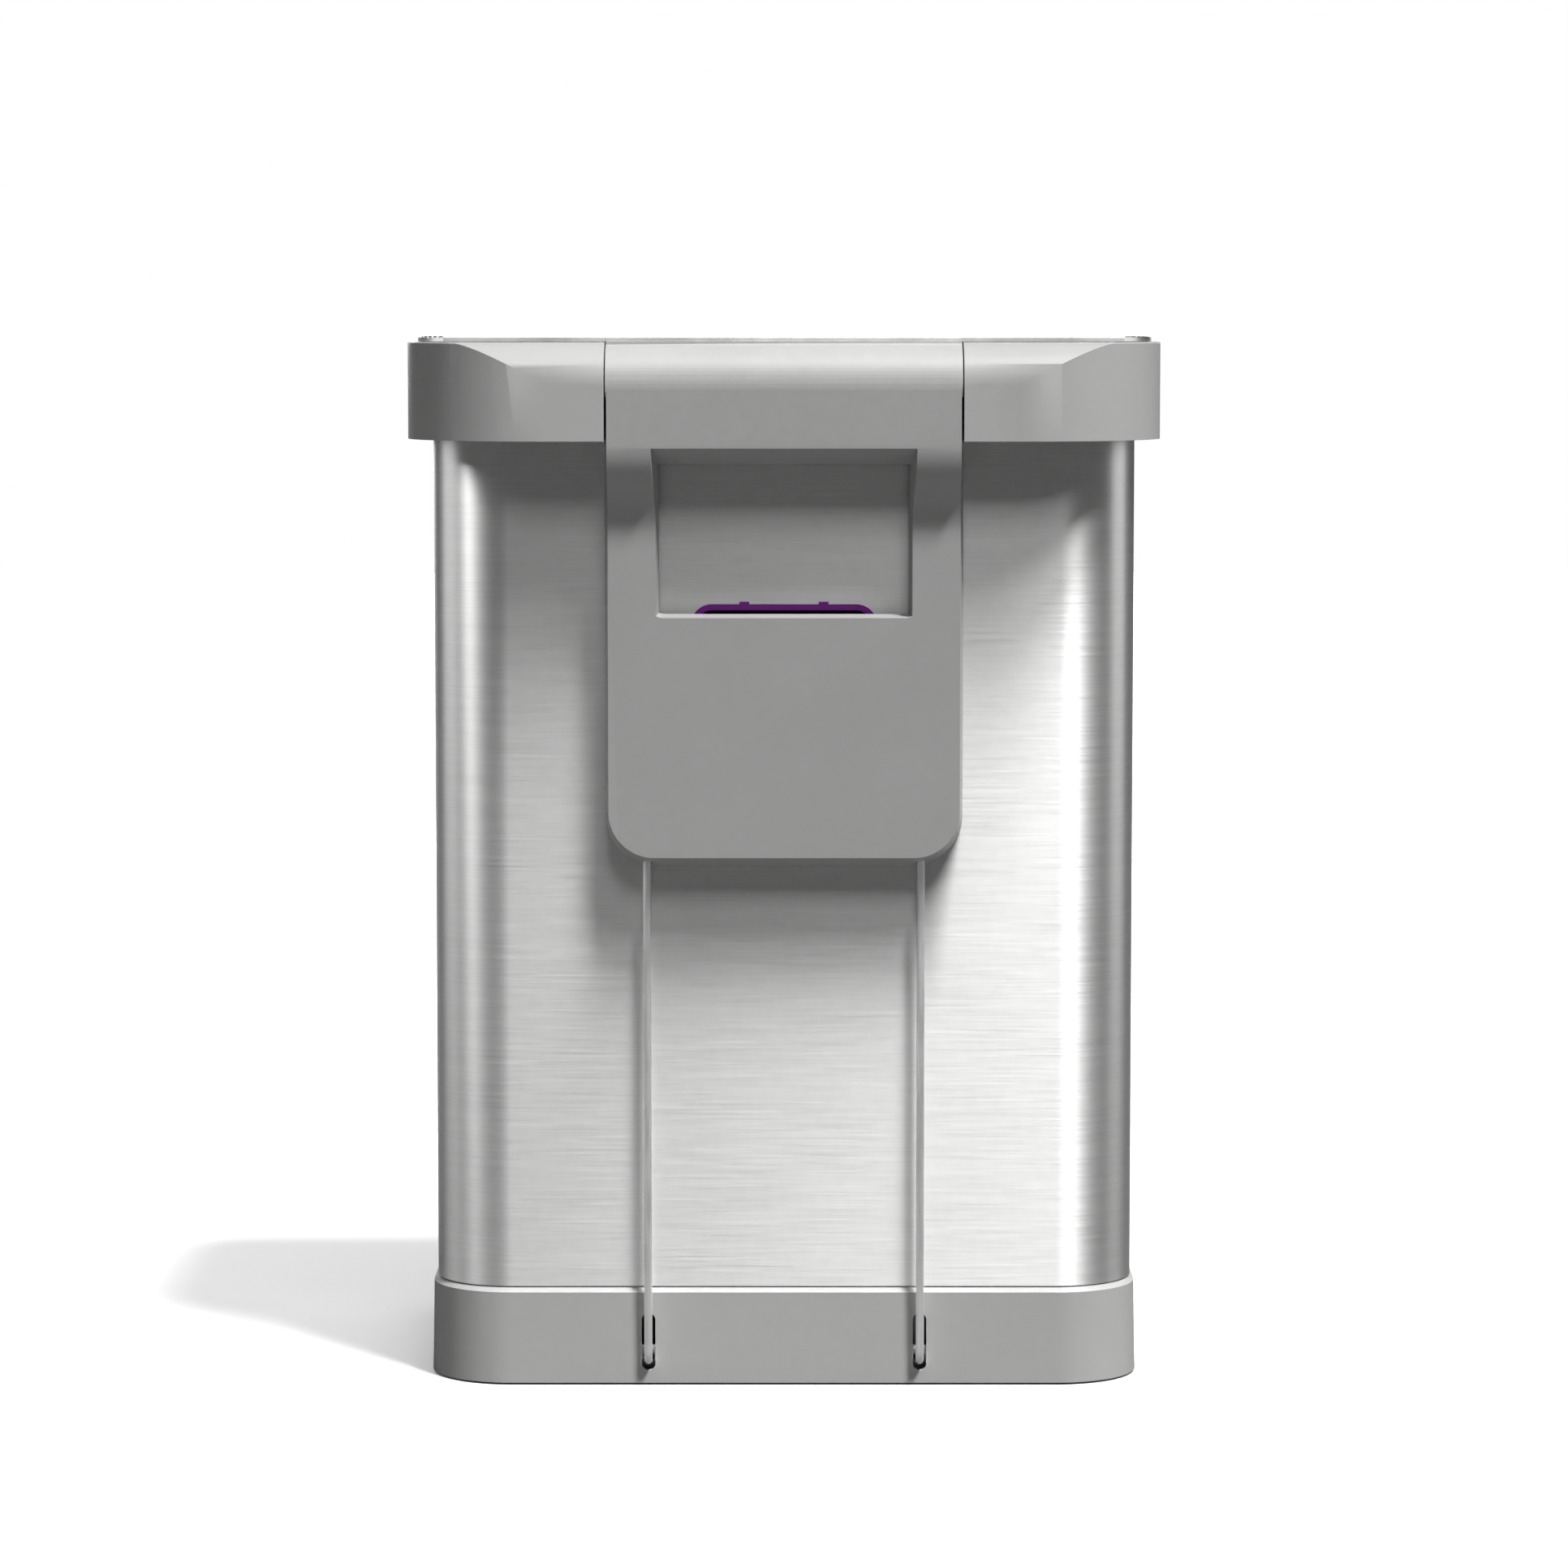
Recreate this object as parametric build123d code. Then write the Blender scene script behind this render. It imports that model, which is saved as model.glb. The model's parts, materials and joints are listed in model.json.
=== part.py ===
"""Pedal-operated kitchen trash compactor: a steel bin whose lid carries a hand press.

Millimetres, +Z up, standing on Z = 0. The front, with the pedal, faces -Y. Depths are measured
forwards from the rear face of the collar, so a depth of 0 is the rearmost plane of the bin.
"""
import os
from math import radians, tan

from build123d import *

# ---- driving dimensions -------------------------------------------------------------------
TOTAL_DEPTH = 290.0        # collar's rear face to the pedal's front edge
REAR_Y = TOTAL_DEPTH / 2

COLLAR_HALF = 183.0
COLLAR_DEPTH = 270.0
COLLAR_LOW = 459.7
COLLAR_TOP = 506.6
COLLAR_CORNER = 70.7       # plan corner radius, rear
COLLAR_FRONT_CORNER = 50.2
SOFT_EDGE = 20.5           # radius along the collar's top rear edge, round the lid's hinge axis
COLLAR_WALL = 2.8

HINGE_DEPTH = SOFT_EDGE
HINGE_Z = COLLAR_TOP - SOFT_EDGE
HINGE_PIN_R = 3.0
BARREL_R = 19.6
BARREL_HALF = 84.9
NOTCH_HALF = 85.5
NOTCH_DEPTH = 45.5

OPENING_HALF = 160.0       # mouth inside the collar
OPENING_NEAR = 48.0
OPENING_FAR = 250.5
OPENING_CORNER = 24.0

BODY_HALF = 170.7
BODY_NEAR = 32.7
BODY_FAR = 260.0
BODY_CORNER = 37.9
BODY_LOW = 48.4
BODY_TOP = 465.0
SHEET = 0.9

BASE_HALF = 173.5
BASE_NEAR = 30.0
BASE_FAR = 262.7
BASE_CORNER = 40.6
BASE_LOW = 1.0
BASE_SHOULDER = 45.5       # where the upright wall turns into the chamfer
BASE_TOP = 47.9
BASE_WALL = 3.0
BASE_DRAFT = 1.05          # degrees

PANEL_HALF = 84.3          # rear housing, front outline
PANEL_BACK_HALF = 86.2
PANEL_FACE = 15.0          # depth of its lower face
PANEL_BACK = 32.4
PANEL_TOP = 484.2
PANEL_LOW = 259.7
PANEL_BACK_LOW = 254.2
PANEL_CORNER = 22.0
PANEL_WALL = 2.6
WINDOW_HALF = 61.4
WINDOW_LOW = 373.3
WINDOW_TOP = 456.5
WINDOW_BACK_TOP = 448.9
WINDOW_BACK = 26.0
WINDOW_WALL = 1.8

PORT_HALF = 45.0           # liner port in the body's rear wall
PORT_TOP = 380.8
PORT_LOW = 320.8
PORT_CORNER = 10.3
PORT_BAND = 1.7

ROD_R = 1.95
ROD_X = 66.0
ROD_DEPTH = 26.0
ROD_END_Z = 12.4
ROD_END_DEPTH = 46.0
ROD_TOP_Z = 469.0
LIFT = 19.6                # rod travel for a full swing of the lid

CRANK_R = 15.5
CRANK_ANGLE = -50.0        # degrees from straight forwards, lid closed
CRANK_PIN_R = 2.0

PEDAL_PIVOT_DEPTH = 150.0
PEDAL_PIVOT_Z = 22.0
PEDAL_PIN_R = 4.0
PEDAL_REAR = 110.4         # pivot to the rods' bent ends
PEDAL_FRONT = 140.64       # pivot to the front of the pad
PEDAL_REST_TILT = 5.0      # degrees, front up

FRAME_HALF = 156.5         # lid frame, outside
FRAME_NEAR = 57.0
FRAME_FAR = 247.0
FRAME_LOW = 466.0
FRAME_CORNER = 21.0
LID_UNDER = 506.9
LID_TOP = 509.7
LID_MARGIN = 3.5           # collar rim left showing round the lid

HEAD_HALF = 110.0          # press head, central box
HEAD_NEAR = 78.0
HEAD_FAR = 228.0
HEAD_CORNER = 12.0
DECK_HALF = 141.0          # press head, deck over the compaction plate
DECK_NEAR = 62.5
DECK_FAR = 240.5
DECK_CORNER = 22.0
DECK_LOW = 467.0
DECK_TOP = 470.0

ARM_LENGTH = 158.0
ARM_SWING = 45.0
ARM_TILT = 7.0             # degrees below level, press raised
ARM_DEPTH = 66.5           # rear pivots
ARM_PIVOT_Z = 497.0
ARM_HEIGHT = 9.0
ARM_PIN_R = 3.0
ARM_THICK = 5.0
OUTER_ARM_X = 128.0
INNER_ARM_X = 120.0
BRACKET_THICK = 5.0
OUTER_BRACKET_X = 134.0
INNER_BRACKET_X = 113.5

CLEAR = 0.3
FIT = 0.05                 # radial clearance of a running fit


# ---- shapes that repeat -------------------------------------------------------------------
def block(left, right, near, far, low, high):
    """Box between two depths and two heights."""
    box = Box(right - left, far - near, high - low, align=(Align.MIN, Align.MIN, Align.MIN))
    return Pos(left, REAR_Y - far, low) * box


def rounded_block(half, near, far, low, high, corner, draft=0.0):
    """Box with upright corners rounded in plan, drafted inwards as it rises."""
    plan = RectangleRounded(2 * half, far - near, corner)
    return Pos(0, REAR_Y - (near + far) / 2, low) * extrude(plan, high - low, taper=draft)


def lid_block(inset, near, low, high, edge=0.0):
    """Collar-shaped block: rounder corners behind than in front, its top edge softened."""
    plan = Rectangle(2 * (COLLAR_HALF - inset), COLLAR_DEPTH - near - inset)
    plan = fillet(plan.vertices().group_by(Axis.Y)[-1], COLLAR_CORNER - inset)
    plan = fillet(plan.vertices().group_by(Axis.Y)[0], COLLAR_FRONT_CORNER - inset)
    solid = Pos(0, REAR_Y - (COLLAR_DEPTH - inset + near) / 2, low) * extrude(plan, high - low)
    return fillet(solid.edges().group_by(Axis.Z)[-1], edge) if edge else solid


def frame_ring(half, near, far, low, high, corner, width):
    """Rounded rectangular ring, its width measured inwards."""
    inner = rounded_block(half - width, near + width, far - width, low - 1, high + 1, corner - width)
    return rounded_block(half, near, far, low, high, corner) - inner


def side_profile(points, left, right):
    """Outline of depths and heights, drawn out from left to right."""
    outline = Polyline(*[(REAR_Y - depth, z) for depth, z in points], close=True)
    face = Plane.YZ * make_face(outline)
    return Pos(left, 0, 0) * extrude(face, right - left)


def cross_bar(radius, left, right, depth, z):
    """Round bar from left to right."""
    bar = Cylinder(radius, right - left, align=(Align.CENTER, Align.CENTER, Align.MIN))
    return Pos(left, REAR_Y - depth, z) * Rot(0, 90, 0) * bar


def upright_bar(radius, x, depth, low, high):
    bar = Cylinder(radius, high - low, align=(Align.CENTER, Align.CENTER, Align.MIN))
    return Pos(x, REAR_Y - depth, low) * bar


def depth_bar(radius, x, near, far, z):
    """Round bar from one depth to another."""
    bar = Cylinder(radius, far - near, align=(Align.CENTER, Align.CENTER, Align.MIN))
    return Pos(x, REAR_Y - near, z) * Rot(90, 0, 0) * bar


def link_plate(start, end, radius, left, right):
    """Flat link with round ends between two (depth, z) points."""
    run = Vector(end[0] - start[0], end[1] - start[1])
    angle = Vector(1, 0).get_signed_angle(run, Vector(0, 0, 1))
    bar = SlotCenterToCenter(run.length, 2 * radius)
    middle = ((start[0] + end[0]) / 2, (start[1] + end[1]) / 2)
    face = Plane.YZ * (Pos(REAR_Y - middle[0], middle[1]) * Rot(0, 0, -angle) * bar)
    return Pos(left, 0, 0) * extrude(face, right - left)


def both_sides(shape):
    """The shape and its mirror image across the bin's middle."""
    return Compound([*shape.solids(), *mirror(shape, about=Plane.YZ).solids()])


def joined_pair(shape):
    """The shape fused with its mirror image."""
    return shape + mirror(shape, about=Plane.YZ)


def hollow_cylinder(outer, inner, left, right, depth, z):
    return cross_bar(outer, left, right, depth, z) - cross_bar(inner, left - 1, right + 1, depth, z)


def torsion_coil(coil_r, wire_r, turns, left, right, depth, z):
    """Close coil of round wire lying along X."""
    pitch = (right - left) / turns
    path = Helix(pitch, right - left, coil_r)
    start = Plane(path @ 0, z_dir=path % 0)
    coil = sweep(start * Circle(wire_r), path, is_frenet=True)
    return Pos(left, REAR_Y - depth, z) * Rot(0, 90, 0) * coil


def screw(x, z, head_near, head_far, tip, head_r=3.4, shank_r=1.5):
    """Pan-head screw lying along the depth, its shank towards the rear."""
    return depth_bar(head_r, x, head_near, head_far, z) + depth_bar(shank_r, x, tip, head_near, z)


def polar(radius, degrees):
    """Depth and height of a point round the lid's hinge axis, 0 degrees straight forwards."""
    arm = Vector(radius, 0).rotate(Axis.Z, degrees)
    return HINGE_DEPTH + arm.X, HINGE_Z + arm.Y


# ---- base and pedal -----------------------------------------------------------------------
SLOT_LOW = 7.2
SLOT_HIGH = 35.3
SLOT_WIDTH = 6.6
PEDAL_MOUTH_HALF = 60.0
PEDAL_MOUTH_LOW = 4.0
PEDAL_MOUTH_HIGH = 43.0
BASE_DECK_LOW = 44.6
PAN_TOP = 4.0
FOOT_R = 12.0
FOOT_TOP = 2.5
FOOT_SPOTS = [(sx * 135, near) for sx in (-1, 1) for near in (62, 230)]
BASE_SCREW_SPOTS = [(sx * 150, near) for sx in (-1, 1) for near in (110, 190)]
BEARING_LEFT = 79.0
BEARING_RIGHT = 87.0


def rod_slot(x):
    """Upright slot through the base's rear wall for a rod's bent end."""
    slot = SlotOverall(SLOT_HIGH - SLOT_LOW, SLOT_WIDTH, rotation=90)
    face = Plane.XZ * (Pos(x, (SLOT_LOW + SLOT_HIGH) / 2) * slot)
    return Pos(0, REAR_Y - BASE_NEAR + 5, 0) * extrude(face, 15)


def base_plinth():
    upright = rounded_block(BASE_HALF, BASE_NEAR, BASE_FAR, BASE_LOW, BASE_SHOULDER, BASE_CORNER, BASE_DRAFT)
    shrink = (BASE_SHOULDER - BASE_LOW) * tan(radians(BASE_DRAFT))
    crown = rounded_block(BASE_HALF - shrink, BASE_NEAR + shrink, BASE_FAR - shrink, BASE_SHOULDER, BASE_TOP,
                          BASE_CORNER - shrink, 45)
    inner = rounded_block(BASE_HALF - BASE_WALL - 1, BASE_NEAR + BASE_WALL, BASE_FAR - BASE_WALL, 0,
                          BASE_DECK_LOW, BASE_CORNER - BASE_WALL - 1)
    shell = upright + crown - inner
    for side in (-1, 1):
        shell -= rod_slot(side * ROD_X)
    shell -= block(-PEDAL_MOUTH_HALF, PEDAL_MOUTH_HALF, BASE_FAR - 10, BASE_FAR + 5,
                   PEDAL_MOUTH_LOW, PEDAL_MOUTH_HIGH)
    bearing = block(BEARING_LEFT, BEARING_RIGHT, PEDAL_PIVOT_DEPTH - 9, PEDAL_PIVOT_DEPTH + 9,
                    PAN_TOP, BASE_DECK_LOW)
    bearing -= cross_bar(PEDAL_PIN_R, BEARING_LEFT - 1, BEARING_RIGHT + 1, PEDAL_PIVOT_DEPTH, PEDAL_PIVOT_Z)
    return shell + joined_pair(bearing)


def base_pan():
    pan = rounded_block(BASE_HALF - BASE_WALL - 1.2, BASE_NEAR + BASE_WALL + 0.2, BASE_FAR - BASE_WALL - 0.2,
                        BASE_LOW, PAN_TOP, BASE_CORNER - BASE_WALL - 1.2)
    for x, depth in FOOT_SPOTS:
        pan -= upright_bar(FOOT_R + CLEAR, x, depth, 0, FOOT_TOP)
    for x, depth in BASE_SCREW_SPOTS:
        pan -= upright_bar(1.6, x, depth, 0, PAN_TOP + 1)
        pan -= upright_bar(3.7, x, depth, 0, FOOT_TOP)
    return pan


def rubber_feet():
    return Compound([upright_bar(FOOT_R, x, depth, 0, FOOT_TOP) for x, depth in FOOT_SPOTS])


def base_screws():
    screws = []
    for x, depth in BASE_SCREW_SPOTS:
        screws.append(upright_bar(3.4, x, depth, 1.2, FOOT_TOP) + upright_bar(1.5, x, depth, FOOT_TOP, 12))
    return Compound(screws)


def pedal_pivot_pin():
    return cross_bar(PEDAL_PIN_R, -92, 92, PEDAL_PIVOT_DEPTH, PEDAL_PIVOT_Z)


def tilt_pedal(shape):
    """From level at the pivot to the resting tilt, front up."""
    pivot = Axis((0, REAR_Y - PEDAL_PIVOT_DEPTH, PEDAL_PIVOT_Z), (1, 0, 0))
    return shape.rotate(pivot, -PEDAL_REST_TILT)


def pedal_lever():
    rear = PEDAL_PIVOT_DEPTH - PEDAL_REAR
    front = PEDAL_PIVOT_DEPTH + PEDAL_FRONT
    low, high = PEDAL_PIVOT_Z - 6, PEDAL_PIVOT_Z + 6
    arm = block(72, 75, rear - 1.2, 240, low, high)
    arm += cross_bar(7, 66, 75, PEDAL_PIVOT_DEPTH, PEDAL_PIVOT_Z)
    arm -= cross_bar(PEDAL_PIN_R + FIT, 60, 80, PEDAL_PIVOT_DEPTH, PEDAL_PIVOT_Z)
    lever = joined_pair(arm)
    lever += block(-75, 75, rear - 1.2, rear + 1.2, low, high)
    lever += block(-75, 75, 215, 240, high - 3, high)
    lever += block(-50, 50, 215, front - 4, high - 3, high)
    for side in (-1, 1):
        lever -= depth_bar(ROD_R + 0.8, side * ROD_X, rear - 3, rear + 3, PEDAL_PIVOT_Z)
    return tilt_pedal(lever)


def pedal_pad():
    front = PEDAL_PIVOT_DEPTH + PEDAL_FRONT
    low, high = PEDAL_PIVOT_Z + 1.2, PEDAL_PIVOT_Z + 9.2
    pad = rounded_block(55, front - 24, front, low, high, 7)
    pad = fillet(pad.edges().group_by(Axis.Z)[-1], 1.5)
    pad -= block(-50, 50, front - 26, front - 4, PEDAL_PIVOT_Z + 3, PEDAL_PIVOT_Z + 6)
    return tilt_pedal(pad)


def pedal_spring():
    return torsion_coil(5.6, 0.9, 6, 52, 64, PEDAL_PIVOT_DEPTH, PEDAL_PIVOT_Z)


# ---- body ---------------------------------------------------------------------------------
HOUSING_SCREW_SPOTS = [(sx * 76, z) for sx in (-1, 1) for z in (300, 400)]
BRACKET_SCREW_SPOTS = [(x, 459.5) for x in (-20, 0, 20)]
FLOOR_TOP = 49.5


def port_outline(grow, near, far):
    """The liner port's rounded opening, drawn out along the depth."""
    outline = RectangleRounded(2 * (PORT_HALF + grow), PORT_TOP - PORT_LOW + 2 * grow, PORT_CORNER + grow)
    face = Plane.XZ * (Pos(0, (PORT_TOP + PORT_LOW) / 2) * outline)
    return Pos(0, REAR_Y - near, 0) * extrude(face, far - near)


def body_shell():
    shell = rounded_block(BODY_HALF, BODY_NEAR, BODY_FAR, BODY_LOW, BODY_TOP, BODY_CORNER)
    shell -= rounded_block(BODY_HALF - SHEET, BODY_NEAR + SHEET, BODY_FAR - SHEET, BODY_LOW - 1, BODY_TOP + 1,
                           BODY_CORNER - SHEET)
    shell -= port_outline(-PORT_BAND, BODY_NEAR - 2, BODY_NEAR + 5)
    for x, z in HOUSING_SCREW_SPOTS + BRACKET_SCREW_SPOTS:
        shell -= depth_bar(1.7, x, BODY_NEAR - 2, BODY_NEAR + 5, z)
    return shell


def shell_floor():
    return rounded_block(BODY_HALF - SHEET, BODY_NEAR + SHEET, BODY_FAR - SHEET, BASE_TOP, FLOOR_TOP,
                         BODY_CORNER - SHEET)


def liner_port_bezel():
    rim = port_outline(0, BODY_NEAR - 0.8, BODY_NEAR)
    rim += port_outline(-PORT_BAND - 0.1, BODY_NEAR, BODY_NEAR + SHEET + 1.2)
    for x in (-19.1, 19.1):
        rim += block(x - 2.35, x + 2.35, BODY_NEAR - 0.8, BODY_NEAR, PORT_TOP - 1, PORT_TOP + 1.2)
    return rim - port_outline(-PORT_BAND - 1.2, BODY_NEAR - 2, BODY_NEAR + 5)


def liner_pocket():
    near = BODY_NEAR + SHEET
    far = 52.0
    outer = block(-52, 52, near, far, PORT_LOW - 8, PORT_TOP + 8)
    inner = port_outline(0.4, near - 1, near + 1.4) + port_outline(1.5, near + 1.4, far - 1.6)
    return outer - inner


def inner_bucket():
    low = FLOOR_TOP
    high = 452.0
    tub = rounded_block(157, 55, 247, low, high, 27)
    tub += rounded_block(159, 53, 249, high - 2.2, high, 29)
    return tub - rounded_block(155, 57, 245, low + 2.2, high + 1, 25)


def liner_ring():
    ring = frame_ring(159, 53, 249, 452.0, 455.5, 29, 6)
    lip = frame_ring(154.8, 57.2, 244.8, 444.0, 452.0, 24.8, 1.8)
    return ring + lip


# ---- collar -------------------------------------------------------------------------------
def collar_block(inset, low, high):
    """The collar's outside, or the same shape inset, with its soft top rear edge."""
    plan = lid_block(inset, inset, low, high, 0.9)
    soft = SOFT_EDGE - inset
    sweep_box = block(-200, 200, -10, HINGE_DEPTH, HINGE_Z, COLLAR_TOP + 10)
    soft_bar = cross_bar(soft, -200, 200, HINGE_DEPTH, HINGE_Z)
    return plan - (sweep_box - soft_bar)


def collar():
    ring = collar_block(0, COLLAR_LOW, COLLAR_TOP)
    mouth = rounded_block(OPENING_HALF, OPENING_NEAR, OPENING_FAR, COLLAR_LOW - 1, COLLAR_TOP + 1,
                          OPENING_CORNER)
    hollow = collar_block(COLLAR_WALL, COLLAR_LOW - 1, COLLAR_TOP - COLLAR_WALL)
    hollow -= rounded_block(OPENING_HALF + COLLAR_WALL, NOTCH_DEPTH, OPENING_FAR + COLLAR_WALL,
                            COLLAR_LOW - 2, COLLAR_TOP, OPENING_CORNER + COLLAR_WALL)
    hollow -= block(-NOTCH_HALF - COLLAR_WALL, NOTCH_HALF + COLLAR_WALL, -1, NOTCH_DEPTH,
                    COLLAR_LOW - 2, COLLAR_TOP)
    notch = block(-NOTCH_HALF, NOTCH_HALF, -5, NOTCH_DEPTH, COLLAR_LOW - 1, COLLAR_TOP + 1)
    strap_gap = block(-NOTCH_HALF, NOTCH_HALF, NOTCH_DEPTH - 1, OPENING_NEAR + 1, 499.3, COLLAR_TOP + 1)
    # the cheeks beside the notch stand over the body's rear wall, so they are cut to clear it
    wall_gap = block(-NOTCH_HALF - 5, NOTCH_HALF + 5, BODY_NEAR - CLEAR, BODY_NEAR + SHEET + CLEAR,
                     COLLAR_LOW - 1, BODY_TOP)
    for seat in collar_seats():
        hollow -= seat
    return ring - mouth - hollow - notch - strap_gap - wall_gap


def collar_seats():
    """Ribs left across the hollow, which rest on the body's top edge."""
    half_rib = 2.0
    seats = [block(-200, 200, depth - half_rib, depth + half_rib, BODY_TOP, 520) for depth in (122, 182)]
    for x in (-102, -40, 40, 102):
        seats.append(block(x - half_rib, x + half_rib, -5, 280, BODY_TOP, 520))
    return seats


# ---- rear housing and hinge ---------------------------------------------------------------
def panel_outline(half, low, corner, high):
    """Upright outline with rounded lower corners."""
    return FilletPolyline((-half, high), (-half, low), (half, low), (half, high), radius=corner) + \
        Line((half, high), (-half, high))


def panel_side(inset, top):
    """Side outline of the housing: flush above, an S-shaped step, then the lower face."""
    step_high = COLLAR_LOW - 0.7
    step_low = 416.0
    upper = Line((REAR_Y - inset, top), (REAR_Y - inset, step_high))
    middle = (REAR_Y - inset - PANEL_FACE / 2, (step_high + step_low) / 2)
    bend_in = TangentArc(upper @ 1, middle, tangent=upper % 1)
    bend_out = TangentArc(bend_in @ 1, (REAR_Y - inset - PANEL_FACE, step_low), tangent=bend_in % 1)
    slope = (PANEL_LOW - PANEL_BACK_LOW) / (PANEL_BACK - PANEL_FACE)
    low = PANEL_LOW + inset
    back = PANEL_BACK if inset == 0 else PANEL_BACK + 5
    corner = (REAR_Y - inset - PANEL_FACE, low)
    back_low = (REAR_Y - back, low - slope * (back - PANEL_FACE - inset))
    rest = Polyline(bend_out @ 1, corner, back_low, (REAR_Y - back, top), upper @ 0)
    return make_face([upper, bend_in, bend_out, *rest.edges()])


def panel_body(inset, top):
    """The housing's outside, or its inside when inset."""
    side = Plane.YZ * panel_side(inset, top)
    profile = Pos(-100, 0, 0) * extrude(side, 200)
    front_half = PANEL_HALF - inset
    back_half = PANEL_BACK_HALF - inset
    low = PANEL_LOW + inset
    corner = PANEL_CORNER - inset
    high = top + 1
    drop = PANEL_LOW - PANEL_BACK_LOW
    front = make_face(panel_outline(front_half, low, corner, high).edges())
    back = make_face(panel_outline(back_half, low - drop, corner + 2.5, COLLAR_LOW - 1.2).edges())
    waist = make_face(panel_outline(front_half, low, corner, COLLAR_LOW - 1.2).edges())
    front_plane = Plane.XZ.offset(-REAR_Y)
    face_plane = Plane.XZ.offset(-REAR_Y + PANEL_FACE)
    back_plane = Plane.XZ.offset(-REAR_Y + PANEL_BACK)
    straight = extrude(front_plane * front, PANEL_FACE)
    flare = loft([face_plane * waist, back_plane * back])
    shoulder = block(-front_half, front_half, PANEL_FACE, PANEL_BACK, COLLAR_LOW - 1.3, high)
    body = straight + flare + shoulder
    if inset > 0:
        body += extrude(back_plane * back, 5)
        body += block(-front_half, front_half, PANEL_BACK, PANEL_BACK + 5, COLLAR_LOW - 1.3, high)
    return body & profile


def window_void(grow, back):
    """Tapered opening of the window, with its sloping top lip."""
    height = WINDOW_TOP + 8 - WINDOW_LOW + grow
    plan = RectangleRounded(2 * (WINDOW_HALF + grow + 1.9), height, 3 + grow)
    face = Plane.XZ.offset(-REAR_Y) * (Pos(0, WINDOW_LOW - grow + height / 2) * plan)
    tunnel = extrude(face, back + 1, taper=7.0)
    lip = [(-1, WINDOW_TOP + 0.6 + grow), (12, WINDOW_BACK_TOP + grow), (back, WINDOW_BACK_TOP - 0.8 + grow),
           (back, WINDOW_LOW - grow), (-1, WINDOW_LOW - grow)]
    return tunnel & side_profile(lip, -100, 100)


def rear_housing():
    outer = panel_body(0, PANEL_TOP)
    shell = outer - panel_body(PANEL_WALL, PANEL_TOP + 5)
    shell += window_void(WINDOW_WALL, WINDOW_BACK) & outer
    shell -= window_void(0, WINDOW_BACK + 8)
    shell -= cross_bar(BARREL_R + CLEAR, -100, 100, HINGE_DEPTH, HINGE_Z)
    for x, z in HOUSING_SCREW_SPOTS:
        boss = depth_bar(4.0, x, PANEL_FACE + 1, PANEL_BACK, z)
        shell += boss - depth_bar(1.55, x, PANEL_FACE + 4, PANEL_BACK + 1, z)
    for side in (-1, 1):
        shell -= upright_bar(ROD_R + 0.6, side * ROD_X, ROD_DEPTH, PANEL_BACK_LOW - 10, PANEL_LOW + 12)
    return shell


def housing_screws():
    far = BODY_NEAR + SHEET
    return Compound([screw(x, z, far, far + 2.2, PANEL_FACE + 8) for x, z in HOUSING_SCREW_SPOTS])


KNUCKLE_LEFT = 30.0
KNUCKLE_RIGHT = 37.0


def hinge_bracket():
    near = 28.7
    plate = block(-56, 56, near, BODY_NEAR, 453.0, 467.0)
    for x, z in BRACKET_SCREW_SPOTS:
        plate -= depth_bar(1.7, x, near - 1, BODY_NEAR + 1, z)
    arm = side_profile([(25.6, 453.5), (near + 1, 453.5), (31.6, 466), (31.6, 486), (HINGE_DEPTH, 492),
                        (HINGE_DEPTH, 480), (25.6, 471)], KNUCKLE_LEFT, KNUCKLE_RIGHT)
    arm += cross_bar(7.0, KNUCKLE_LEFT, KNUCKLE_RIGHT, HINGE_DEPTH, HINGE_Z)
    arm -= cross_bar(HINGE_PIN_R, KNUCKLE_LEFT - 1, KNUCKLE_RIGHT + 1, HINGE_DEPTH, HINGE_Z)
    return plate + joined_pair(arm)


def hinge_screws():
    far = BODY_NEAR + SHEET
    return Compound([screw(x, z, far, far + 2.2, 27.5) for x, z in BRACKET_SCREW_SPOTS])


def hinge_pin():
    return cross_bar(HINGE_PIN_R, -80, 80, HINGE_DEPTH, HINGE_Z)


def rod_guides():
    guide = block(ROD_X - 5, ROD_X + 5, 20, BODY_NEAR, 264, 272)
    guide -= upright_bar(ROD_R + FIT, ROD_X, ROD_DEPTH, 260, 276)
    return both_sides(guide)


DAMPER_DEPTH = 41.0
DAMPER_LOW = 394.0
DAMPER_HIGH = 456.0


def damper_cylinder():
    tube = upright_bar(5.5, 0, DAMPER_DEPTH, DAMPER_LOW, DAMPER_HIGH)
    clip = block(-8, 8, BODY_NEAR + SHEET, DAMPER_DEPTH, DAMPER_LOW + 8, DAMPER_LOW + 14)
    clip += block(-8, 8, BODY_NEAR + SHEET, DAMPER_DEPTH, DAMPER_HIGH - 22, DAMPER_HIGH - 16)
    tube += clip
    return tube - upright_bar(3.2, 0, DAMPER_DEPTH, DAMPER_LOW + 3, DAMPER_HIGH - 4) \
        - upright_bar(2.1, 0, DAMPER_DEPTH, DAMPER_HIGH - 6, DAMPER_HIGH + 1)


# ---- lifting rods -------------------------------------------------------------------------
YOKE_LOW = 467.4
YOKE_HIGH = 480.6
YOKE_NEAR = 24.0
YOKE_FAR = 42.0


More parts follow.
